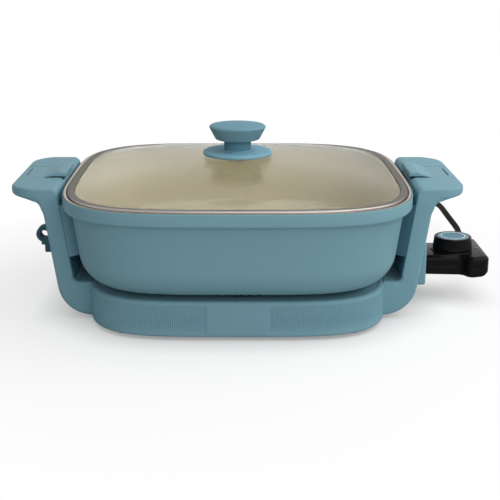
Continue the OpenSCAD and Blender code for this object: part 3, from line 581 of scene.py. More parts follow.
def linked(name: str, data: bpy.types.ID) -> bpy.types.Object:
    """A new object in the scene.

    Args:
        name: Name of the object.
        data: Its mesh, camera or lamp.

    Returns:
        The object.
    """
    made = bpy.data.objects.new(name, data)
    bpy.context.scene.collection.objects.link(made)
    return made


def piece(name: str, body: Body, skin: Sequence[Grid] | bpy.types.Mesh, finishes: Sequence[Finish],
          stands_for: Sequence[str] = (), sharp: float = 38.0) -> bpy.types.Object:
    """Adds a visual piece that rides on a body.

    Args:
        name: Name of the piece.
        body: Body that it moves with.
        skin: Skins in millimetres, or a mesh in metres.
        finishes: Finishes by number.
        stands_for: Construction nodes that it replaces.
        sharp: Angle in degrees over which an edge of the skins stays sharp.

    Returns:
        The object.
    """
    mesh = skin if isinstance(skin, bpy.types.Mesh) else mesh_of(name, skin, sharp)
    for finish in finishes:
        mesh.materials.append(finish.material())
    made = linked(name, mesh)
    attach(made, body.value)
    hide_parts(*stands_for)
    LOG.info("%s: %d faces on %s", name, len(mesh.polygons), body.value)
    return made


def rings(half: Array, z: Array, power: Array | float, angles: Array,
          narrow: Array | float = 0.0) -> Array:
    """Superellipse rings: at angle t, r = (|cos t|^n + |sin t|^n)^(-1/n), times each half width.

    Args:
        half: Half width along X of each ring.
        z: Height of each ring.
        power: Exponent n, one for all or one for each ring.
        angles: Polar angles in radians.
        narrow: How much smaller the half width along Y is.

    Returns:
        Points, rings by angles by 3.
    """
    n = np.broadcast_to(np.asarray(power, dtype=float), half.shape)[:, None]
    c, s = np.cos(angles)[None], np.sin(angles)[None]
    r = (np.abs(c) ** n + np.abs(s) ** n) ** (-1 / n)
    x = half[:, None] * r * c
    y = (half - narrow)[:, None] * r * s
    return np.stack([x, y, np.broadcast_to(z[:, None], x.shape)], axis=-1)


def revolve(profile: Array, centre: Pair = (0.0, 0.0), count: int = 96) -> Array:
    """Radii and heights turned about a vertical axis: (cx + r cos t, cy + r sin t, z)."""
    return rings(profile[:, 0], profile[:, 1], 2.0, around(count)) + (*centre, 0.0)


def slab(outline: Array, levels: Array, order: tuple[int, int, int] = (0, 1, 2)) -> Array:
    """An outline stacked through levels, each drawn in by an inset: p + inset * n.

    Args:
        outline: Closed outline, n by 2.
        levels: Level and inset of each ring.
        order: Which of outline first, outline second and level stand for X, Y and Z.

    Returns:
        Points, levels by n by 3.
    """
    flat = outline[None] + levels[:, 1, None, None] * normals(outline)[None]
    height = np.broadcast_to(levels[:, 0, None], flat.shape[:2])
    return np.stack([flat[..., 0], flat[..., 1], height], axis=-1)[..., list(order)]


def smooth_path(points: Array, per_span: int) -> Array:
    """A Catmull-Rom curve through points.

    Args:
        points: Points, n by 3.
        per_span: Steps between two points.

    Returns:
        Points of the curve.
    """
    padded = join(2 * points[:1] - points[1:2], points, 2 * points[-1:] - points[-2:-1])
    a, b, c, d = padded[:-3, None], padded[1:-2, None], padded[2:-1, None], padded[3:, None]
    t = np.linspace(0, 1, per_span, endpoint=False)[None, :, None]
    curve = 0.5 * (2 * b + (c - a) * t + (2 * a - 5 * b + 4 * c - d) * t**2
                   + (3 * b - a - 3 * c + d) * t**3)
    return join(curve.reshape(-1, 3), points[-1:])


def tube(path: Array, radius: float, sides: int) -> Array:
    """Rings square to a path: p + r (cos t u + sin t v), u level and v across.

    Args:
        path: Points, n by 3.
        radius: Radius of the tube.
        sides: Points per ring.

    Returns:
        Points, n by sides by 3.
    """
    along = np.gradient(path, axis=0)
    along /= np.linalg.norm(along, axis=1, keepdims=True)
    u = np.cross([0.0, 0.0, 1.0], along)
    u /= np.linalg.norm(u, axis=1, keepdims=True)
    v = np.cross(along, u)
    t = around(sides)
    spokes = np.cos(t)[None, :, None] * u[:, None] + np.sin(t)[None, :, None] * v[:, None]
    return path[:, None] + radius * spokes


@dataclass
class Camera:
    """The photograph's camera, fitted to the rim, the base and the handles."""

    place: Triple = (0.0, -0.960, 0.3215)
    pitch_deg: float = 16.18
    lens_mm: float = 76.46
    shift_x: float = 0.025

    def build(self) -> None:
        """Adds the camera and makes it the scene's own."""
        data = bpy.data.cameras.new("camera")
        data.lens, data.shift_x = self.lens_mm, self.shift_x
        made = linked("camera", data)
        made.location = self.place
        made.rotation_euler = (math.radians(90 - self.pitch_deg), 0, 0)
        bpy.context.scene.camera = made


@dataclass
class Cord:
    """Mains cord: a free stretch behind the object that ends in a small tied coil and a plug."""

    radius: float = 3.0
    sides: int = 20
    coil: Pair = (120.0, 255.0)
    coil_r: float = 29.4
    step: float = 6.6
    floor: float = 4.3
    strap_x: Pair = (116.0, 124.0)
    strap_thick: float = 0.8
    strap_corner: float = 2.6
    strap_gap: float = 0.65
    strap_low: float = 0.15
    plug_y: float = 291.0
    plug_half: Pair = (13.0, 9.7)
    plug_corner: float = 5.5
    plug_x: Pair = (50.0, 86.0)
    plug_edges: Pair = (2.0, 5.0)
    flank_x: Pair = (52.5, 80.0)
    grip_from: float = 60.0
    groove: float = 0.7
    groove_pitch: float = 4.4
    nose_x: Pair = (84.0, 98.0)
    nose_r: Pair = (7.0, 3.6)
    ring: float = 0.35
    ring_pitch: float = 2.8

    def route(self) -> Array:
        """Points of the free stretch, as in the construction.

        Returns:
            Points in millimetres.
        """
        return np.array([
            (222.93, 63, 36.5), (222.93, 68, 36.5), (223.83, 77, 36.8), (225.4, 87, 37.3),
            (226.2, 98, 37.9), (226, 112, 38.5), (225.4, 128, 39.2), (225, 146, 39.8),
            (225, 166, 40), (225.2, 184, 39.5), (225, 202, 38), (223.9, 218, 35),
            (221.5, 232, 30.5), (217.2, 246, 24.5), (211, 259, 18), (202.5, 270, 12.5),
            (192, 279, 8.5), (180, 286, 6), (167, 290, 4.8), (154, 291, 4.3), (140, 291, 4.3),
            (138, 291, 4.3), (126, 291, 4.3),
        ])

    def turns(self) -> Array:
        """Points of the coil: for t from -1 to 1, angle = 90 + 360 (t + 1) degrees,
        r = coil_r + step |t|, and z climbs one layer while t runs from -1/4 to 1/4.

        Returns:
            Points in millimetres, 24 to a turn, and the plug's end.
        """
        t = np.linspace(-1, 1, 49)
        r = self.coil_r + self.step * np.abs(t)
        z = self.floor + self.step * np.clip(0.5 + 2 * t, 0, 1)
        angle = np.radians(90 + 360 * (t + 1))
        x, y = self.coil[0] + r * np.cos(angle), self.coil[1] + r * np.sin(angle)
        end = (self.nose_x[1], self.plug_y, self.floor + self.step)
        return join(np.stack([x, y, z], axis=-1), [end])

    def build(self) -> None:
        """Adds the cord, the tie around its coil and the plug."""
        path = join(smooth_path(self.route(), 6), smooth_path(self.turns(), 4))
        cord = piece("mains_cord", Body.CONTROL, [Grid(tube(path, self.radius, self.sides))],
                     [Finishes.CORD], ["power_cord", "cord_coil"])
        tie = self.tie()
        plug = self.plug()

    def tie(self) -> bpy.types.Object:
        """A flat strap bent around the coil's near side, with round corners.

        Returns:
            The strap.
        """
        layer = self.step / 2
        middle = np.array([self.coil[1] - self.coil_r - layer, self.floor + layer])
        reach = np.array([self.radius, self.radius + layer]) + self.strap_gap
        (near, far), out = self.strap_x, -self.strap_thick
        section = np.array([(near, 0.0), (near, out), (far, out), (far, 0.0)])
        loop = box(middle - reach, middle + reach, self.strap_corner)
        skin = Grid(slab(loop, section, (2, 0, 1)), loop_rows=True)
        skin.points[..., 2] = np.maximum(skin.points[..., 2], self.strap_low)
        return piece("cord_strap", Body.CONTROL, [skin], [Finishes.RUBBER], ["cord_tie"])

    def plug(self) -> bpy.types.Object:
        """A two-blade plug: a rounded block with finger grooves, the positive half of a sine, and
        a nose that tapers under cosine rings.

        Returns:
            The plug.
        """
        middle = np.array([self.plug_y, self.floor + self.step])
        block = box(middle - self.plug_half, middle + self.plug_half, self.plug_corner)
        x = np.linspace(*self.flank_x, 56)
        wave = np.sin((x - self.grip_from) * TURN / self.groove_pitch)
        grooves = self.groove * np.clip(wave, 0, 1) * (x > self.grip_from)
        levels = join(round_end(self.plug_x[0], -self.plug_edges[0]),
                      np.stack([x, grooves], axis=-1),
                      round_end(self.plug_x[1], self.plug_edges[1]))
        run = np.linspace(*self.nose_x, 50)
        taper = self.nose_r[0] + (self.nose_r[1] - self.nose_r[0]) * climb(run, *self.nose_x)
        nose = taper + self.ring * np.cos((run - self.nose_x[0]) * TURN / self.ring_pitch)
        ringed = revolve(np.stack([nose, run], axis=-1), tuple(middle), 40)[..., [2, 0, 1]]
        return piece("mains_plug", Body.CONTROL,
                     [Grid(slab(block, levels, (2, 0, 1))), Grid(ringed)],
                     [Finishes.CORD], ["plug_body"])


@dataclass
class Pan:
    """The pan: coated outside, a bare metal lip and a ceramic inside."""

    half: float = 152.5
    rim_z: float = 116.0
    collar_z: float = 104.0
    floor_z: float = 37.0
    floor_power: float = 4.3
    wall: float = 3.0
    ledge: float = 113.5
    lip_x: Pair = (149.1, 151.9)
    middle_r: float = 6.0
    arc_steps: int = 18

    def build(self) -> None:
        """Adds the pan as one skin; rings follow its section from the underside to the inner floor,
        and the outline's exponent runs from the floor's to the collar's."""
        inner = CORNER_R - self.wall
        lip_in, lip_out = self.lip_x
        outside = join(
            [(self.middle_r, self.floor_z)], arc(CORNER, CORNER_R, -90, -SLOPE, self.arc_steps),
            rounded([(*lean(CORNER_R, 90), 0), (146.2, self.collar_z, 1.4),
                     (self.half, self.collar_z, 2.6), (self.half, self.rim_z, 1.1),
                     (lip_out, self.rim_z, 0)])[1:])
        lip = rounded([(lip_out, self.rim_z, 0), (lip_in, self.rim_z, 0.7),
                       (lip_in, self.ledge, 0.5), (*lean(inner, self.ledge), 0.8),
                       (*lean(inner, 110), 0)])
        inside = join(arc(CORNER, inner, -SLOPE, -90, self.arc_steps),
                      [(self.middle_r, self.floor_z + self.wall)])
        section = join(outside, lip[1:], inside)
        marks = np.repeat([0, 1, 2], [len(outside) - 1, len(lip) - 2, len(inside) + 1])
        share = climb(section[:, 1], self.collar_z, self.floor_z)
        power = PAN_POWER + (self.floor_power - PAN_POWER) * share
        skin = Grid(rings(section[:, 0], section[:, 1], power, around(RIM_POINTS)), paint=marks)
        piece("pan_shell", Body.PAN, [skin], [Finishes.COATING, Finishes.LIP, Finishes.CERAMIC],
              ["pan_body"])


@dataclass
class Lid:
    """Glass lid with a steel band, a heat guard disc and a knob."""

    band_half: float = 148.3
    band_w: float = 6.0
    band_z: Pair = (113.7, 117.6)
    glass_half: float = 142.1
    rise: float = 16.6
    thick: float = 3.6
    glass_edge: float = 1.6
    round_share: float = 1.6
    neck_z: float = 139.0
    crown: Pair = (24.2, 163.3)
    crown_dip: float = 1.6
    knob_points: int = 128

    def build(self) -> None:
        """Adds the lid's pieces."""
        self.band()
        self.glass()
        self.knob()

    def band(self) -> None:
        """A bent steel strip with round edges."""
        low, high = self.band_z
        out, inside = self.band_half, self.band_half - self.band_w
        section = rounded([(out, low, 0.5), (out, high, 1.1), (inside, high, 0.9),
                           (inside, low, 0.5)], closed=True)
        skin = Grid(rings(section[:, 0], section[:, 1], PAN_POWER, around(RIM_POINTS)),
                    loop_rows=True)
        piece("lid_rim_band", Body.LID, [skin], [Finishes.BAND], ["lid_band"])

    def glass(self) -> None:
        """The dome: z = z0 + h (1 - s^2) at share s; the outline's exponent runs from 2 in the
        middle to the pan's."""
        share = join(np.linspace(0.03, 0.9, 30), np.linspace(0.92, 0.985, 8))
        z = self.band_z[1] + self.rise * (1 - share**2)
        edge = self.thick / 2
        turn = np.radians(np.linspace(-80, 80, 9))
        rim_z = self.band_z[1] - edge - edge * np.sin(turn)
        rim = self.glass_half - self.glass_edge + self.glass_edge * np.cos(turn)
        half = join(share * self.glass_half, rim, share[::-1] * self.glass_half)
        height = join(z, rim_z, z[::-1] - self.thick)
        square = np.minimum(1, self.round_share * half / self.glass_half)
        power = 2 + (PAN_POWER - 2) * square
        skin = Grid(rings(half, height, power, around(RIM_POINTS)), loop_rows=True)
        piece("lid_dome", Body.LID, [skin], [Finishes.GLASS], ["lid_glass"], sharp=60)

    def knob(self) -> None:
        """Guard disc with its neck, and the inverted cone of the knob with a shallow crown,
        z = top - dip (r / r0)^2."""
        disc = rounded([(2.6, 134.7, 0), (31.6, 134.7, 1.5), (31.6, 138.3, 1.8),
                        (12.3, 138.3, 0.8), (12.3, 149.2, 0), (2.6, 149.2, 0)])
        # The rows of the neck get the darker teal of painted shade, and the rest of the guard gets
        # the lighter teal of painted light.
        painted_shade_on_neck = (disc[:, 1] > self.neck_z).astype(int)
        guard = Grid(revolve(disc, count=self.knob_points), loop_rows=True, paint=painted_shade_on_neck)
        piece("knob_heat_guard", Body.LID, [guard], [Finishes.GUARD_PAINTED_LIGHT, Finishes.NECK_PAINTED_SHADE],
              ["knob_guard"])
        share = 1 - np.linspace(0, 0.98, 12)
        radius, top = self.crown
        crown = np.stack([radius * share, top - self.crown_dip * share**2], axis=-1)
        side = rounded([(1.0, 148.8, 0), (20.0, 148.8, 2.0), (26.2, 160.6, 1.3), (23.0, 162.0, 0)])
        cap = Grid(revolve(join(side[:-1], crown), count=self.knob_points))
        piece("knob_cap", Body.LID, [cap], [Finishes.KNOB], ["lid_knob"])


@dataclass
class Base:
    """Tray with a fluted front and back, a plain panel between the flutes, and a sunken deck."""

    bottom: float = 3.5
    deck: float = 34.0
    well: float = 23.5
    skirt: float = 129.5
    tray_from: float = 115.0
    panel: float = 26.6
    flutes_end: float = 154.0
    pitch: float = 1.6
    depth: float = 0.55
    least: float = 0.15
    fade_in: float = 0.4
    fade_out: float = 3.0
    flutes_z: Pair = (7.0, 31.4)
    fade_z: float = 1.5
    slot: Recess = Recess(4.2, (117.4, INF), (31.7, INF))

    def columns(self) -> tuple[Array, Array]:
        """Places around the outline: four to a flute, few on the panel and beside the uprights.

        Returns:
            Polar angles in radians, and arc lengths from the middle of the front or back.
        """
        t = np.linspace(-math.pi, math.pi, 40001)
        outline = rings(np.array([BASE_HALF]), np.zeros(1), BASE_POWER, t, BASE_NARROW)[0]
        run = join([0], np.cumsum(np.linalg.norm(np.diff(outline, axis=0), axis=1)))
        quarter = run[-1] / 4
        half = join(np.linspace(0, self.panel, 10, endpoint=False),
                    np.arange(self.panel, self.flutes_end, self.pitch / 4),
                    np.linspace(self.flutes_end + 1, quarter - 8, 20),
                    quarter - np.array([4.25, 4.15, 0.0]))
        along = join(-half[:0:-1], half[:-1])
        places = join(quarter + along, 3 * quarter + along)
        return np.interp(places, run, t), np.abs(join(along, along))

    def build(self) -> None:
        """Adds the tray; at arc length s, flutes draw the wall in by
        least + depth (1 - |2 frac(s / pitch) - 1|)."""
        out, low, top, skirt = BASE_HALF, self.bottom, BASE_TOP, self.skirt
        under = [(107.5, self.well), (111.5, 30.5), (skirt, 30.5), (skirt, low + 0.5)]
        wall = rounded([(skirt, low, 0), (out, low, 1.6), (out, 7.0, 0)])[1:]
        flank = [(out, z) for z in (8.5, 14.0, 20.0, 29.9, 31.0)]
        rim = rounded([(out, 31.0, 0), (out, top, 2.8), (128, top, 0.8), (127, self.deck, 0.5),
                       (117.45, self.deck, 0), (117.35, self.deck, 0), (109, self.deck, 1.0),
                       (105, self.well, 0)])[1:]
        section = join(under, [(skirt, low)], wall, flank, rim)
        tray = section[:, 0] > self.tray_from
        angles, along = self.columns()
        points = rings(section[:, 0], section[:, 1], np.where(tray, BASE_POWER, 2.0), angles,
                       np.where(tray, BASE_NARROW, 0.0))
        x, y, z = np.moveaxis(points, -1, 0)
        flutes = climb(along, self.panel, self.panel + self.fade_in)
        flutes *= climb(along, self.flutes_end, self.flutes_end - self.fade_out)
        wave = 1 - np.abs(2 * np.mod((along - self.panel) / self.pitch + 1e-6, 1) - 1)
        first, last = self.flutes_z
        fade = climb(z, first, first + self.fade_z) * climb(z, last, last - self.fade_z)
        outer = (np.abs(section[:, 0] - out) < 0.01)[:, None]
        draw = np.where(outer, fade * flutes * (self.least + self.depth * wave), 0.0)
        plain = len(under) + len(wall) + 2
        points[..., :2] += draw[..., None] * normals(points[plain, :, :2])[None]
        z[self.slot.holds(x, y, z)] = self.slot.z[0]
        piece("base_tray", Body.BASE, [Grid(points, loop_rows=True)], [Finishes.TEAL],
              ["base_shell"], sharp=50)


@dataclass
class Upright:
    """One upright with its handle: a section carried from front to back with round ends."""

    side: Side
    half_w: float = 72.0
    corner: float = 25.0
    skin: float = 3.2
    edge: float = 3.0
    top_edge: float = 2.0
    inner_edge: float = 1.2
    ledge_fillet: float = 5.0
    foot: Pair = (131.0, 3.6)
    foot_bend: Pair = (30.0, 33.5)
    under_bend: Pair = (15.0, 91.3)
    brow_bend: Pair = (6.0, 112.0)
    under_grip: Pair = (182.4, 106.3)
    grip_slope: float = 0.235
    tip_r: float = 3.0
    tip_z: float = 112.5
    crest_r: float = 2.2
    grip_x: float = 169.5
    nose: float = 3.1
    tuck: float = 0.6
    hollow: Recess = Recess(66.0, z=(36.0, 100.3))
    channel: Recess = Recess(24.8, (156.6, INF), (114.0, INF))
    keeper: Recess = Recess(9.3, (165.6, 189.2), (105.3, 108.5))
    keeper_top: float = 111.2
    well: Recess = Recess(18.2, (135.9, INF), (-INF, 42.5))
    well_floor: float = 26.3
    probe: Recess = Recess(3.3, (150.0, INF), (31.7, 38.3))
    probe_x: float = 146.0
    guide_z: Triple = (57.0, 100.0, 103.2)
    guide_slope: float = 0.9
    guide_back: float = 37.4
    guide_ends: float = 64.0

    def section(self) -> tuple[Array, Array, Array]:
        """Outline of the right upright in X and Z; each bend is a radius and its centre's height.

        Returns:
            Points, n by 2, a mask of those on the inner curve, and the edge radius at each.
        """
        r, z = self.foot_bend
        foot = arc(lean(OUTER - r, z), r, -84, -SLOPE, 14)
        leg = lean(OUTER, np.array([31.67, 31.73, 38.27, 38.33, 60.0]))
        r, z = self.under_bend
        under = arc(lean(OUTER + r, z), r, 180 - SLOPE, 90, 12)
        rise = join(np.linspace(184, 189.17, 4), np.linspace(189.23, 194.5, 4))
        grip_from, grip_z = self.under_grip
        lift = np.stack([rise, grip_z + self.grip_slope * (rise - grip_from)], axis=-1)
        nose = arc((TIP_X - self.tip_r, self.tip_z), self.tip_r, -76, 0, 5)
        crest = arc((TIP_X - self.crest_r, HANDLE_TOP - self.crest_r), self.crest_r, 0, 90, 5)
        top = [(186.0, HANDLE_TOP), (174.0, HANDLE_TOP)]
        r, z = self.brow_bend
        brow = arc(lean(INNER + r, z), r, 90, 180 - SLOPE, 8)
        line = lean(INNER, np.array([100.33, 100.27, 86.0, 72.0, 55.0, 42.0]))
        fillet = self.ledge_fillet
        heel = lean(INNER - fillet, BASE_TOP + fillet)
        curve = join(arc(heel, fillet, -SLOPE, -43.95, 6), arc(heel, fillet, -44.91, -90, 6),
                     [(135.95, BASE_TOP), (135.85, BASE_TOP)])
        runs = [(run, self.edge) for run in ([self.foot], foot, leg, under, lift)]
        runs += [(run, self.top_edge) for run in (nose, crest, top, brow)]
        runs += [(line, self.inner_edge), (curve, self.edge)]
        runs.append(([(self.foot[0], BASE_TOP)], self.edge))
        points = join(*(run for run, _ in runs))
        radii = join(*(np.full(len(run), radius) for run, radius in runs))
        first = len(points) - len(line) - len(curve) - 1
        radii[first - len(brow):first] = np.linspace(self.top_edge, self.inner_edge, len(brow))
        return points, np.arange(len(points)) >= first, radii

    def stations(self) -> Array:
        """Distances from the middle at which the section is set.

        Returns:
            Y from front to back.
        """
        half = np.array([3.27, 3.33, 9.27, 9.33, 18.17, 18.23, 24.77, 24.83, 36, 47, 50, 53, 56,
                         59, 61.5, 63.5, 65.97, 66.03, 67.2, 68.2, 69.1, 69.8, 70.4, 70.9, 71.3,
                         71.6, 71.8, 71.95, 72])
        return join(-half[::-1], [0], half)

    def build(self) -> None:
        """Adds the upright, hollow behind its end walls, with a channel for the latch in its top.

        At the ends, each point is drawn in by r - sqrt(r^2 - d^2), d its depth into the edge
        radius. The foot joins the tray's wall, x = a (1 - (|y| / b)^n)^(1/n).
        """
        outline, inner, radii = self.section()
        y = self.stations()[:, None]
        far = np.abs(y)
        into = np.clip(far - (self.half_w - radii), 0, radii)
        inset = (radii - np.sqrt(radii**2 - into**2))[..., None]
        x, z = np.moveaxis(outline[None] + inset * normals(outline)[None], -1, 0)
        past = np.clip(far - (self.half_w - self.corner), 0, self.corner)
        reach = TIP_X - self.corner + np.sqrt(self.corner**2 - past**2)
        nose = TIP_X - self.nose
        shrink = (reach - self.nose - self.grip_x) / (nose - self.grip_x)
        drawn = np.where(x > self.grip_x, self.grip_x + (x - self.grip_x) * shrink, x)
        x = np.where(outline[:, 0] > nose, x - TIP_X + reach, drawn)
        x = np.where(inner & self.hollow.holds(x, y, z), lean_x(OUTER - self.skin, z), x)
        z = np.where(self.channel.holds(x, y, z), self.channel.z[0], z)
        z = np.where(self.keeper.holds(x, y, z), self.keeper_top, z)
        if self.side is Side.RIGHT:
            z = np.where(inner & self.well.holds(x, y, z), self.well_floor, z)
            x = np.where(~inner & self.probe.holds(x, y, z), self.probe_x, x)
        share = far / (BASE_HALF - BASE_NARROW)
        joined = BASE_HALF * (1 - share**BASE_POWER) ** (1 / BASE_POWER) - self.tuck
        x = np.concatenate([joined, x[:, 1:-1], joined], axis=1)
        skin = Grid(np.stack([self.side.value * x, np.broadcast_to(y, x.shape), z], axis=-1))
        name = self.side.name.lower()
        piece(f"{name}_handle_upright", Body.BASE, [skin], [Finishes.TEAL], [f"{name}_upright"])
        self.guides(name)

    def guides(self, name: str) -> None:
        """Two soft-edged blocks under the rim that centre the pan, thicker at their outer ends.

        The outer ends slope back: |y| falls by guide_slope for each millimetre nearer to the pan.

        Args:
            name: The side's name.
        """
        low, step, high = self.guide_z
        block, nose = (rounded([
            (*lean(face, low), 1.6), (*lean(back, low), 0.6),
            (*lean(back, high), 0.6), (*lean(face, high), 1.6),
        ], closed=True) for face, back in ((31.2, 37.218), (29.6, 38.4)))
        root = np.array([lean(36.0, low + 1), lean(37.918, low), lean(37.918, step),
                         lean(36.0, step)])
        grids = []
        for outline, edge, start, reach in ((block, 0.6, 45.7, 70.6), (nose, 0.6, 56.0, 70.7),
                                            (root, 0.0, 45.7, 65.7)):
            for near, far in ((-reach, -start), (start, reach)):
                points = slab(outline, join(round_end(near, -edge), round_end(far, edge)),
                              (0, 2, 1))
                x, y, z = np.moveaxis(points, -1, 0)
                ahead = np.clip(lean_x(self.guide_back, z) - x, 0, None)
                y -= (np.abs(y) > self.guide_ends) * np.sign(y) * self.guide_slope * ahead
                x *= self.side.value
                grids.append(Grid(points))
        # The guides' finish carries painted light on the left side and painted shade on the right
        # side.
        piece(f"{name}_pan_guides", Body.BASE, grids, [Finishes.GUIDES_PAINTED_LIGHT_AND_SHADE[self.side]],
              [f"{name}_guides"])


@dataclass
class Latch:
    """One latch slider: a flush plate with a finger groove and a raised thumb tab."""

    side: Side
    half_w: float = 24.5
    edge: float = 0.9
    groove: Recess = Recess(15.0, (190.6, 192.2), (117.0, INF))
    groove_floor: float = 116.4

    def build(self) -> None:
        """Adds the slider; the groove lowers the plate's top between two stations."""
        outline = rounded([
            (166.4, 114.2, 0.3), (TIP_X, 114.2, 0.3), (TIP_X, HANDLE_TOP, 2.2),
            (192.25, HANDLE_TOP, 0), (192.15, HANDLE_TOP, 0), (190.65, HANDLE_TOP, 0),
            (190.55, HANDLE_TOP, 0), (175.0, HANDLE_TOP, 8.0), (162.6, 122.5, 3.0),
            (154.6, 122.5, 1.6), (154.6, 118.2, 0.5), (166.4, 118.2, 0.0),
        ], closed=True)
        half = join([(0, 0), (14.97, 0), (15.03, 0)], round_end(self.half_w, self.edge, 4))
        points = slab(outline, join(half[:0:-1] * (-1, 1), half), (0, 2, 1))
        x, y, z = np.moveaxis(points, -1, 0)
        z[self.groove.holds(x, y, z)] = self.groove_floor
        x *= self.side.value
        name = self.side.name.lower()
        piece(f"{name}_latch_slider", Body(f"{name}_latch"), [Grid(points)], [Finishes.LATCH],
              [f"{name}_latch"], sharp=30)


@dataclass
class Fittings:
    """Hang loop on the left upright and the shroud around the contact pins on the right one."""

    loop: Pair = (-180.0, 59.7)
    loop_r: Pair = (3.9, 7.7)
    loop_half_w: float = 6.0
    guard_x: Pair = (148.0, 172.7)

    def build(self) -> None:
        """Adds both pieces."""
        self.hang_loop()
        self.shroud()

    def hang_loop(self) -> None:
        """A ring with round edges on two stepped blocks."""
        half = self.loop_half_w
        hoop = box((self.loop_r[0], -half), (self.loop_r[1], half), 0.7, 1.4, 1.4, 0.7)
        ring = revolve(hoop, self.loop, 64)[..., [0, 2, 1]]
        block = rounded([(-156, 42.5, 0), (-156, 53.7, 0), (-183, 53.7, 1.2), (-183, 49.7, 0.8),
                         (-180, 49.7, 0.5), (-180, 42.5, 1.2)], closed=True)
        ends = join(round_end(-half, -1.0), round_end(half, 1.0))
        # The loop's darker teal is painted shade.
        piece("hang_loop", Body.BASE,
              [Grid(ring, loop_rows=True), Grid(slab(block, ends, (0, 2, 1)))],
              [Finishes.LOOP_PAINTED_SHADE], ["storage_loop"])

    def shroud(self) -> None:
        """A rounded frame: rings step from its outer wall over the mouth to its inner wall."""
        outer = box((-32, 18.4), (32, 58), 2.5, 2.5, 6, 6)
        mouth = box((-24, 26.2), (24, 44.5), 2)
        root, out = self.guard_x
        over = join([(root, 0.0)], round_end(out, 2.2))
        into = join([(root, 0.0)], round_end(out, 0.9) * (1, -1))
        skin = join(slab(outer, over, (2, 0, 1)), slab(mouth, into, (2, 0, 1))[::-1])
        piece("pin_shroud", Body.BASE, [Grid(skin, loop_rows=True)], [Finishes.TEAL],
              ["pin_guard"])


@dataclass
class Control:
    """Heat control: two housing halves, a ring under the dial, a lens and a strain relief."""

    front: float = 160.43
    front_corner: float = 1.2
    head: float = 209.43
    back: float = 230.43
    flare: float = 14.0
    corner: float = 6.5
    neck: float = 23.5
    wide: float = 33.0
    low: float = 26.7
    split: float = 35.0
    gap: float = 0.05
    seam: float = 0.25
    rise: float = 2.0
    rise_x: Pair = (176.0, 230.0)
    rise_z: Pair = (38.0, 44.0)
    sag: float = 0.8
    sag_x: Pair = (173.0, 183.0)
    lift: float = 5.0
    lift_from: float = 219.0
    lift_fade: float = 8.0
    relief_axis: Pair = (222.93, 36.5)
    relief_run: Pair = (35.0, 63.0)
    relief_r: Pair = (5.4, 3.4)
    relief_plain: Pair = (2.0, 4.0)
    groove: float = 0.55
    groove_pitch: float = 4.6

    def plan(self) -> Array:
        """Outline of the housing seen from above: two equal arcs flare the neck into the head.

        Over a run dx and a rise dy, each arc turns by a = 2 atan(dy / dx); r = dx / (2 sin a).

        Returns:
            Points, n by 2.
        """
        turn = 2 * math.atan((self.wide - self.neck) / self.flare)
        half = self.flare / 2
        r = half / math.sin(turn)
        deg = math.degrees(turn)
        start = self.front_corner
        near_side = join(
            arc((self.front + start, start - self.neck), start, 180, 270, 4),
            arc((self.head - half, -self.neck - r), r, 90, 90 - deg, 10),
            arc((self.head + half, r - self.wide), r, 270 - 0.9 * deg, 270, 9),
            arc((self.back - self.corner, self.corner - self.wide), self.corner, 270, 360, 8))
        return join(near_side, near_side[::-1] * (1, -1))

    def build(self) -> None:
        """Adds the control's pieces; the top edge is a bevel with soft ends, the housing grows a
        little taller towards its head, and its underside sags and then lifts at the far end."""
        plan = self.plan()
        bevel = [(41.7, 0.0), (42.05, 0.15), (42.4, 0.6), (43.75, 2.2), (43.95, 2.6), (44.0, 3.0)]
        bottom = slab(plan, join(round_end(self.low, -1.0),
                                 round_end(self.split - self.gap, self.seam, 3)))
        top = slab(plan, join(round_end(self.split + self.gap, -self.seam, 3), bevel))
        x, z = top[..., 0], top[..., 2]
        z += self.rise * climb(x, *self.rise_x) ** 2 * climb(z, *self.rise_z)
        x, z = bottom[..., 0], bottom[..., 2]
        lifted = self.lift * climb(x, self.lift_from, self.back) ** 2
        lifted -= self.sag * climb(x, *self.sag_x)
        z += lifted * climb(z, self.split, self.split - self.lift_fade)
        piece("control_bottom", Body.CONTROL, [Grid(bottom)], [Finishes.BLACK], ["control_lower"])
        ring = rounded([(19.0, 41.6, 0), (20.9, 42.0, 0), (20.3, 45.3, 0.7), (12.0, 45.3, 0)])
        piece("control_top", Body.CONTROL, [Grid(top), Grid(revolve(ring, DIAL_AXIS))],
              [Finishes.BLACK], ["control_upper"])
        window = slab(box((222.13, -5), (226.73, -1), 1), join([(40.4, 0.0)], round_end(45.9, 0.5)))
        piece("control_lens", Body.CONTROL, [Grid(window)], [Finishes.RED], ["indicator_lens"])
        self.relief()

    def relief(self) -> None:
        """Tapered sleeve with ring grooves, the positive half of a cosine."""
        start, end = self.relief_run
        run = np.linspace(start, end, 140)
        taper = self.relief_r[0] + (self.relief_r[1] - self.relief_r[0]) * climb(run, start, end)
        wave = np.clip(np.cos((run - start) * TURN / self.groove_pitch), 0, 1)
        first, last = start + self.relief_plain[0], end - self.relief_plain[1]
        groove = self.groove * wave * (run > first) * (run < last)
        root = [(4.6, self.wide - 4), (5.0, self.wide + 0.2), (5.7, self.wide + 0.2)]
        profile = join(root, np.stack([taper - groove, run], axis=-1))
        sleeve = revolve(profile, self.relief_axis, 40)[..., [0, 2, 1]]
        piece("cord_sleeve", Body.CONTROL, [Grid(sleeve)], [Finishes.RUBBER], ["strain_relief"])


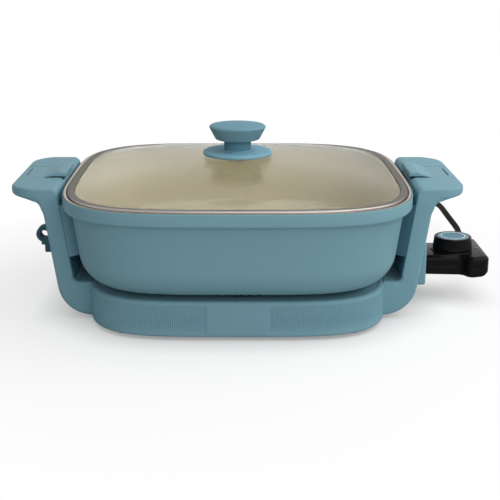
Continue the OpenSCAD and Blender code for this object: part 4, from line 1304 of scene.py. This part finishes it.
@dataclass
class Dial:
    """Ribbed dial with a marked insert."""

    low: float = 45.6
    high: float = 57.0
    ribs: int = 56
    rib_points: int = 8
    rib: float = 0.4
    ribs_z: Pair = (47.0, 55.2)
    ribs_fade: float = 1.0
    ribs_from: float = 16.5
    flank: tuple[Pair, Pair] = ((18.2, 46.6), (17.25, 55.4))
    labels: tuple[str, ...] = ("OFF", "WARM", "200", "250", "300", "350", "400")
    label_deg: float = -45.0
    label_size: float = 1.6
    label_r: float = 11.7
    tick_half: float = 0.13
    tick_r: Pair = (13.3, 14.1)
    print_z: float = 57.2

    def build(self) -> None:
        """Adds the dial, its insert and the printed marks."""
        self.knob()
        self.insert()
        self.marks()

    def knob(self) -> None:
        """The flank is drawn in by rib (1 + cos(ribs t)) / 2 between its plain edges."""
        section = rounded([(4.0, self.low, 0), (18.3, self.low, 0.6), (17.75, 51.0, 0),
                           (17.1, self.high, 1.1), (14.75, self.high, 0.3), (14.75, 55.7, 0),
                           (4.0, 55.7, 0)])
        cut = int(np.argmax(section[:, 1] > 50))
        section = join(section[:cut], np.linspace(*self.flank, 12)[1:-1], section[cut + 1:])
        t = around(self.ribs * self.rib_points)
        points = revolve(section, DIAL_AXIS, len(t))
        r, z = section[:, :1], section[:, 1:]
        first, last = self.ribs_z
        fade = climb(z, first, first + self.ribs_fade) * climb(z, last, last - self.ribs_fade)
        fade *= r > self.ribs_from
        draw = self.rib * fade * (0.5 + 0.5 * np.cos(self.ribs * t))[None]
        points[..., :2] -= draw[..., None] * np.stack([np.cos(t), np.sin(t)], axis=-1)[None]
        piece("dial_grip", Body.DIAL, [Grid(points)], [Finishes.RIBBED], ["dial_knob"])

    def insert(self) -> None:
        """A pale outer ring, a printed line and a teal disc that dips a little."""
        outer = rounded([(14.6, 55.8, 0), (14.6, 57.0, 0.35), (11.2, 57.15, 0)])
        disc = [(10.0, 56.75), (7.0, 56.6), (1.0, 56.55)]
        section = join(outer, [(10.4, 57.15)], disc)
        marks = np.repeat([0, 1, 2], [len(outer) - 1, 1, len(disc)])
        piece("dial_plate", Body.DIAL, [Grid(revolve(section, DIAL_AXIS), paint=marks)],
              [Finishes.DIAL_RING, Finishes.PRINT, Finishes.DIAL], ["dial_insert"])

    def marks(self) -> None:
        """Numbers around the ring and a tick at each, as one flat mesh."""
        spots, faces = [], []
        count = 0
        (near, far), half = self.tick_r, self.tick_half
        tick = np.array([(-half, near), (half, near), (half, far), (-half, far)])
        for place, label in enumerate(self.labels):
            turn = math.radians(self.label_deg * place)
            c, s = math.cos(turn), math.sin(turn)
            flat, polygons = flat_text(label, self.label_size)
            flat[:, 1] += self.label_r
            for corners, made in ((flat, polygons), (tick, [[0, 1, 2, 3]])):
                spots.append(corners @ np.array([(c, s), (-s, c)]) + DIAL_AXIS)
                faces += [[count + i for i in face] for face in made]
                count += len(corners)
        outline = join(*spots)
        points = np.column_stack([outline, np.full(len(outline), self.print_z)]) * MM
        mesh = bpy.data.meshes.new("dial_marks")
        mesh.from_pydata(points.tolist(), [], faces)
        piece("dial_marks", Body.DIAL, mesh, [Finishes.PRINT])


def flat_text(label: str, size: float) -> tuple[Array, list[list[int]]]:
    """A word as flat faces, centred on X = 0.

    Args:
        label: The word.
        size: Height of the letters' body in millimetres.

    Returns:
        Corners, n by 2, and faces.
    """
    curve = bpy.data.curves.new("label", type="FONT")
    curve.body, curve.size, curve.align_x = label, size, "CENTER"
    word = bpy.data.objects.new("label", curve)
    mesh = bpy.data.meshes.new_from_object(word)
    corners = np.empty(len(mesh.vertices) * 3)
    mesh.vertices.foreach_get("co", corners)
    faces = [list(face.vertices) for face in mesh.polygons]
    bpy.data.objects.remove(word)
    bpy.data.curves.remove(curve)
    bpy.data.meshes.remove(mesh)
    return corners.reshape(-1, 3)[:, :2], faces


@dataclass
class Kept:
    """Construction nodes that show as they are, each under its finish."""

    finishes: tuple[tuple[Finish, tuple[str, ...]], ...] = (
        # The liners' brighter teal is painted light.
        (Finishes.LINER_PAINTED_LIGHT, ("left_liner", "right_liner")),
        (Finishes.DARK_TEAL, ("left_latch_keeper", "right_latch_keeper", "base_floor",
                              "base_well")),
        (Finishes.RUBBER, ("rubber_feet", "knob_gasket")),
        (Finishes.SILICONE, ("pan_rests", "knob_washer")),
        (Finishes.STEEL, ("base_screws", "upright_screws", "heat_shield", "terminal_pins",
                          "element_clips", "pan_contacts", "knob_screw", "probe_rod",
                          "housing_screws", "plug_blades", "dial_shaft")),
        (Finishes.SHEATH, ("heating_element",)),
        (Finishes.BRASS, ("contact_sleeves",)),
        (Finishes.INSULATOR, ("terminal_block", "contact_block", "thermostat")),
        (Finishes.HOOD, ("terminal_hood",)),
        (Finishes.LAMP, ("indicator_lamp",)),
    )

    def build(self) -> None:
        """Gives each node its material."""
        for finish, names in self.finishes:
            for name in names:
                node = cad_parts[name]
                node.data.materials.clear()
                node.data.materials.append(finish.material())
                LOG.info("%s: %s", name, finish.name)


@dataclass(frozen=True)
class Lamp:
    """A square softbox that faces the object's middle."""

    name: str
    energy: float
    size: float
    place: Triple
    aim: Triple = (0.0, 0.0, 0.06)

    def build(self) -> None:
        """Adds the lamp."""
        data = bpy.data.lights.new(self.name, type="AREA")
        data.energy, data.size = self.energy, self.size
        lamp = linked(self.name, data)
        lamp.location = self.place
        towards = Vector(self.aim) - Vector(self.place)
        lamp.rotation_euler = towards.to_track_quat("-Z", "Y").to_euler()


@dataclass
class Stage:
    """White room: a floor with a soft shadow, a softbox on the right and a low one in front."""

    world: float = 0.4
    key: Lamp = Lamp("key", 8.0, 1.1, (0.66, -0.15, 0.9))
    fill: Lamp = Lamp("fill", 6.4, 1.0, (0.4, -1.4, 0.5))
    floor_half: float = 6.0
    floor_seen: float = 0.97
    floor_bounce: float = 0.5
    floor_glow: float = 0.62
    white_from: float = 0.4
    contact_reach: float = 0.036
    contact_share: float = 0.6
    contact_samples: int = 16

    def build(self) -> None:
        """Adds the floor, the lamps and the world."""
        self.floor()
        self.key.build()
        self.fill.build()
        self.sky()
        bpy.context.scene.view_settings.view_transform = "Standard"

    def seen(self, graph: Graph) -> Socket:
        """Whether a ray shows the room to the eye, straight, in a mirror or through glass.

        Args:
            graph: Graph to add to.

        Returns:
            1 on such rays and 0 on others.
        """
        path = graph.node("LightPath")
        total = path + path.pick("Is Glossy Ray") + path.pick("Is Transmission Ray")
        return total.math("MINIMUM", total, 1.0)

    def floor(self) -> None:
        """A plane that is white to the eye, keeps part of the shadow near the object, and bounces
        less light. Its glow grows with the distance d from the middle by (d / white_from)^2, and
        loses contact_share of what the object hides from it within contact_reach metres."""
        size = self.floor_half
        mesh = bpy.data.meshes.new("floor")
        mesh.from_pydata([(-size, -size, 0), (size, -size, 0), (size, size, 0), (-size, size, 0)],
                         [], [(0, 1, 2, 3)])
        made = bpy.data.materials.new("floor_white")
        graph = Graph(made)
        eye = self.seen(graph)
        tone = graph.ramp(eye, (self.floor_bounce,) * 3 + (1.0,), (self.floor_seen,) * 3 + (1.0,))
        matt = graph.node("BsdfDiffuse", tone)
        free = graph.node("AmbientOcclusion", settings={"samples": self.contact_samples},
                          Distance=self.contact_reach).pick("AO")
        glow = graph.node("Emission", 1 - (1 - free) * self.contact_share)
        away = graph.node("VectorMath", graph.place(), settings={"operation": "LENGTH"})
        away = (away.pick("Value") * (1 / self.white_from)) ** 2.0
        share = away.math("MINIMUM", away * (1 - self.floor_glow) + self.floor_glow, 1.0)
        graph.node("OutputMaterial", graph.node("MixShader", eye * share, matt, glow))
        mesh.materials.append(made)
        floor = linked("floor", mesh)

    def sky(self) -> None:
        """White to the eye, in metal and through glass; softer as light."""
        world = bpy.data.worlds.new("white_room")
        bpy.context.scene.world = world
        graph = Graph(world)
        tone = self.seen(graph) * (1 - self.world) + self.world
        graph.node("OutputWorld", graph.node("Background", tone))


def main() -> None:
    """Builds the whole scene and notes its size."""
    logging.basicConfig(level=logging.INFO, format="%(name)s: %(message)s")
    for part in (Camera(), Cord(), Pan(), Lid(), Base(), *map(Upright, Side), *map(Latch, Side),
                 Fittings(), Control(), Dial(), Kept(), Stage()):
        part.build()


if __name__ == "__main__":
    main()
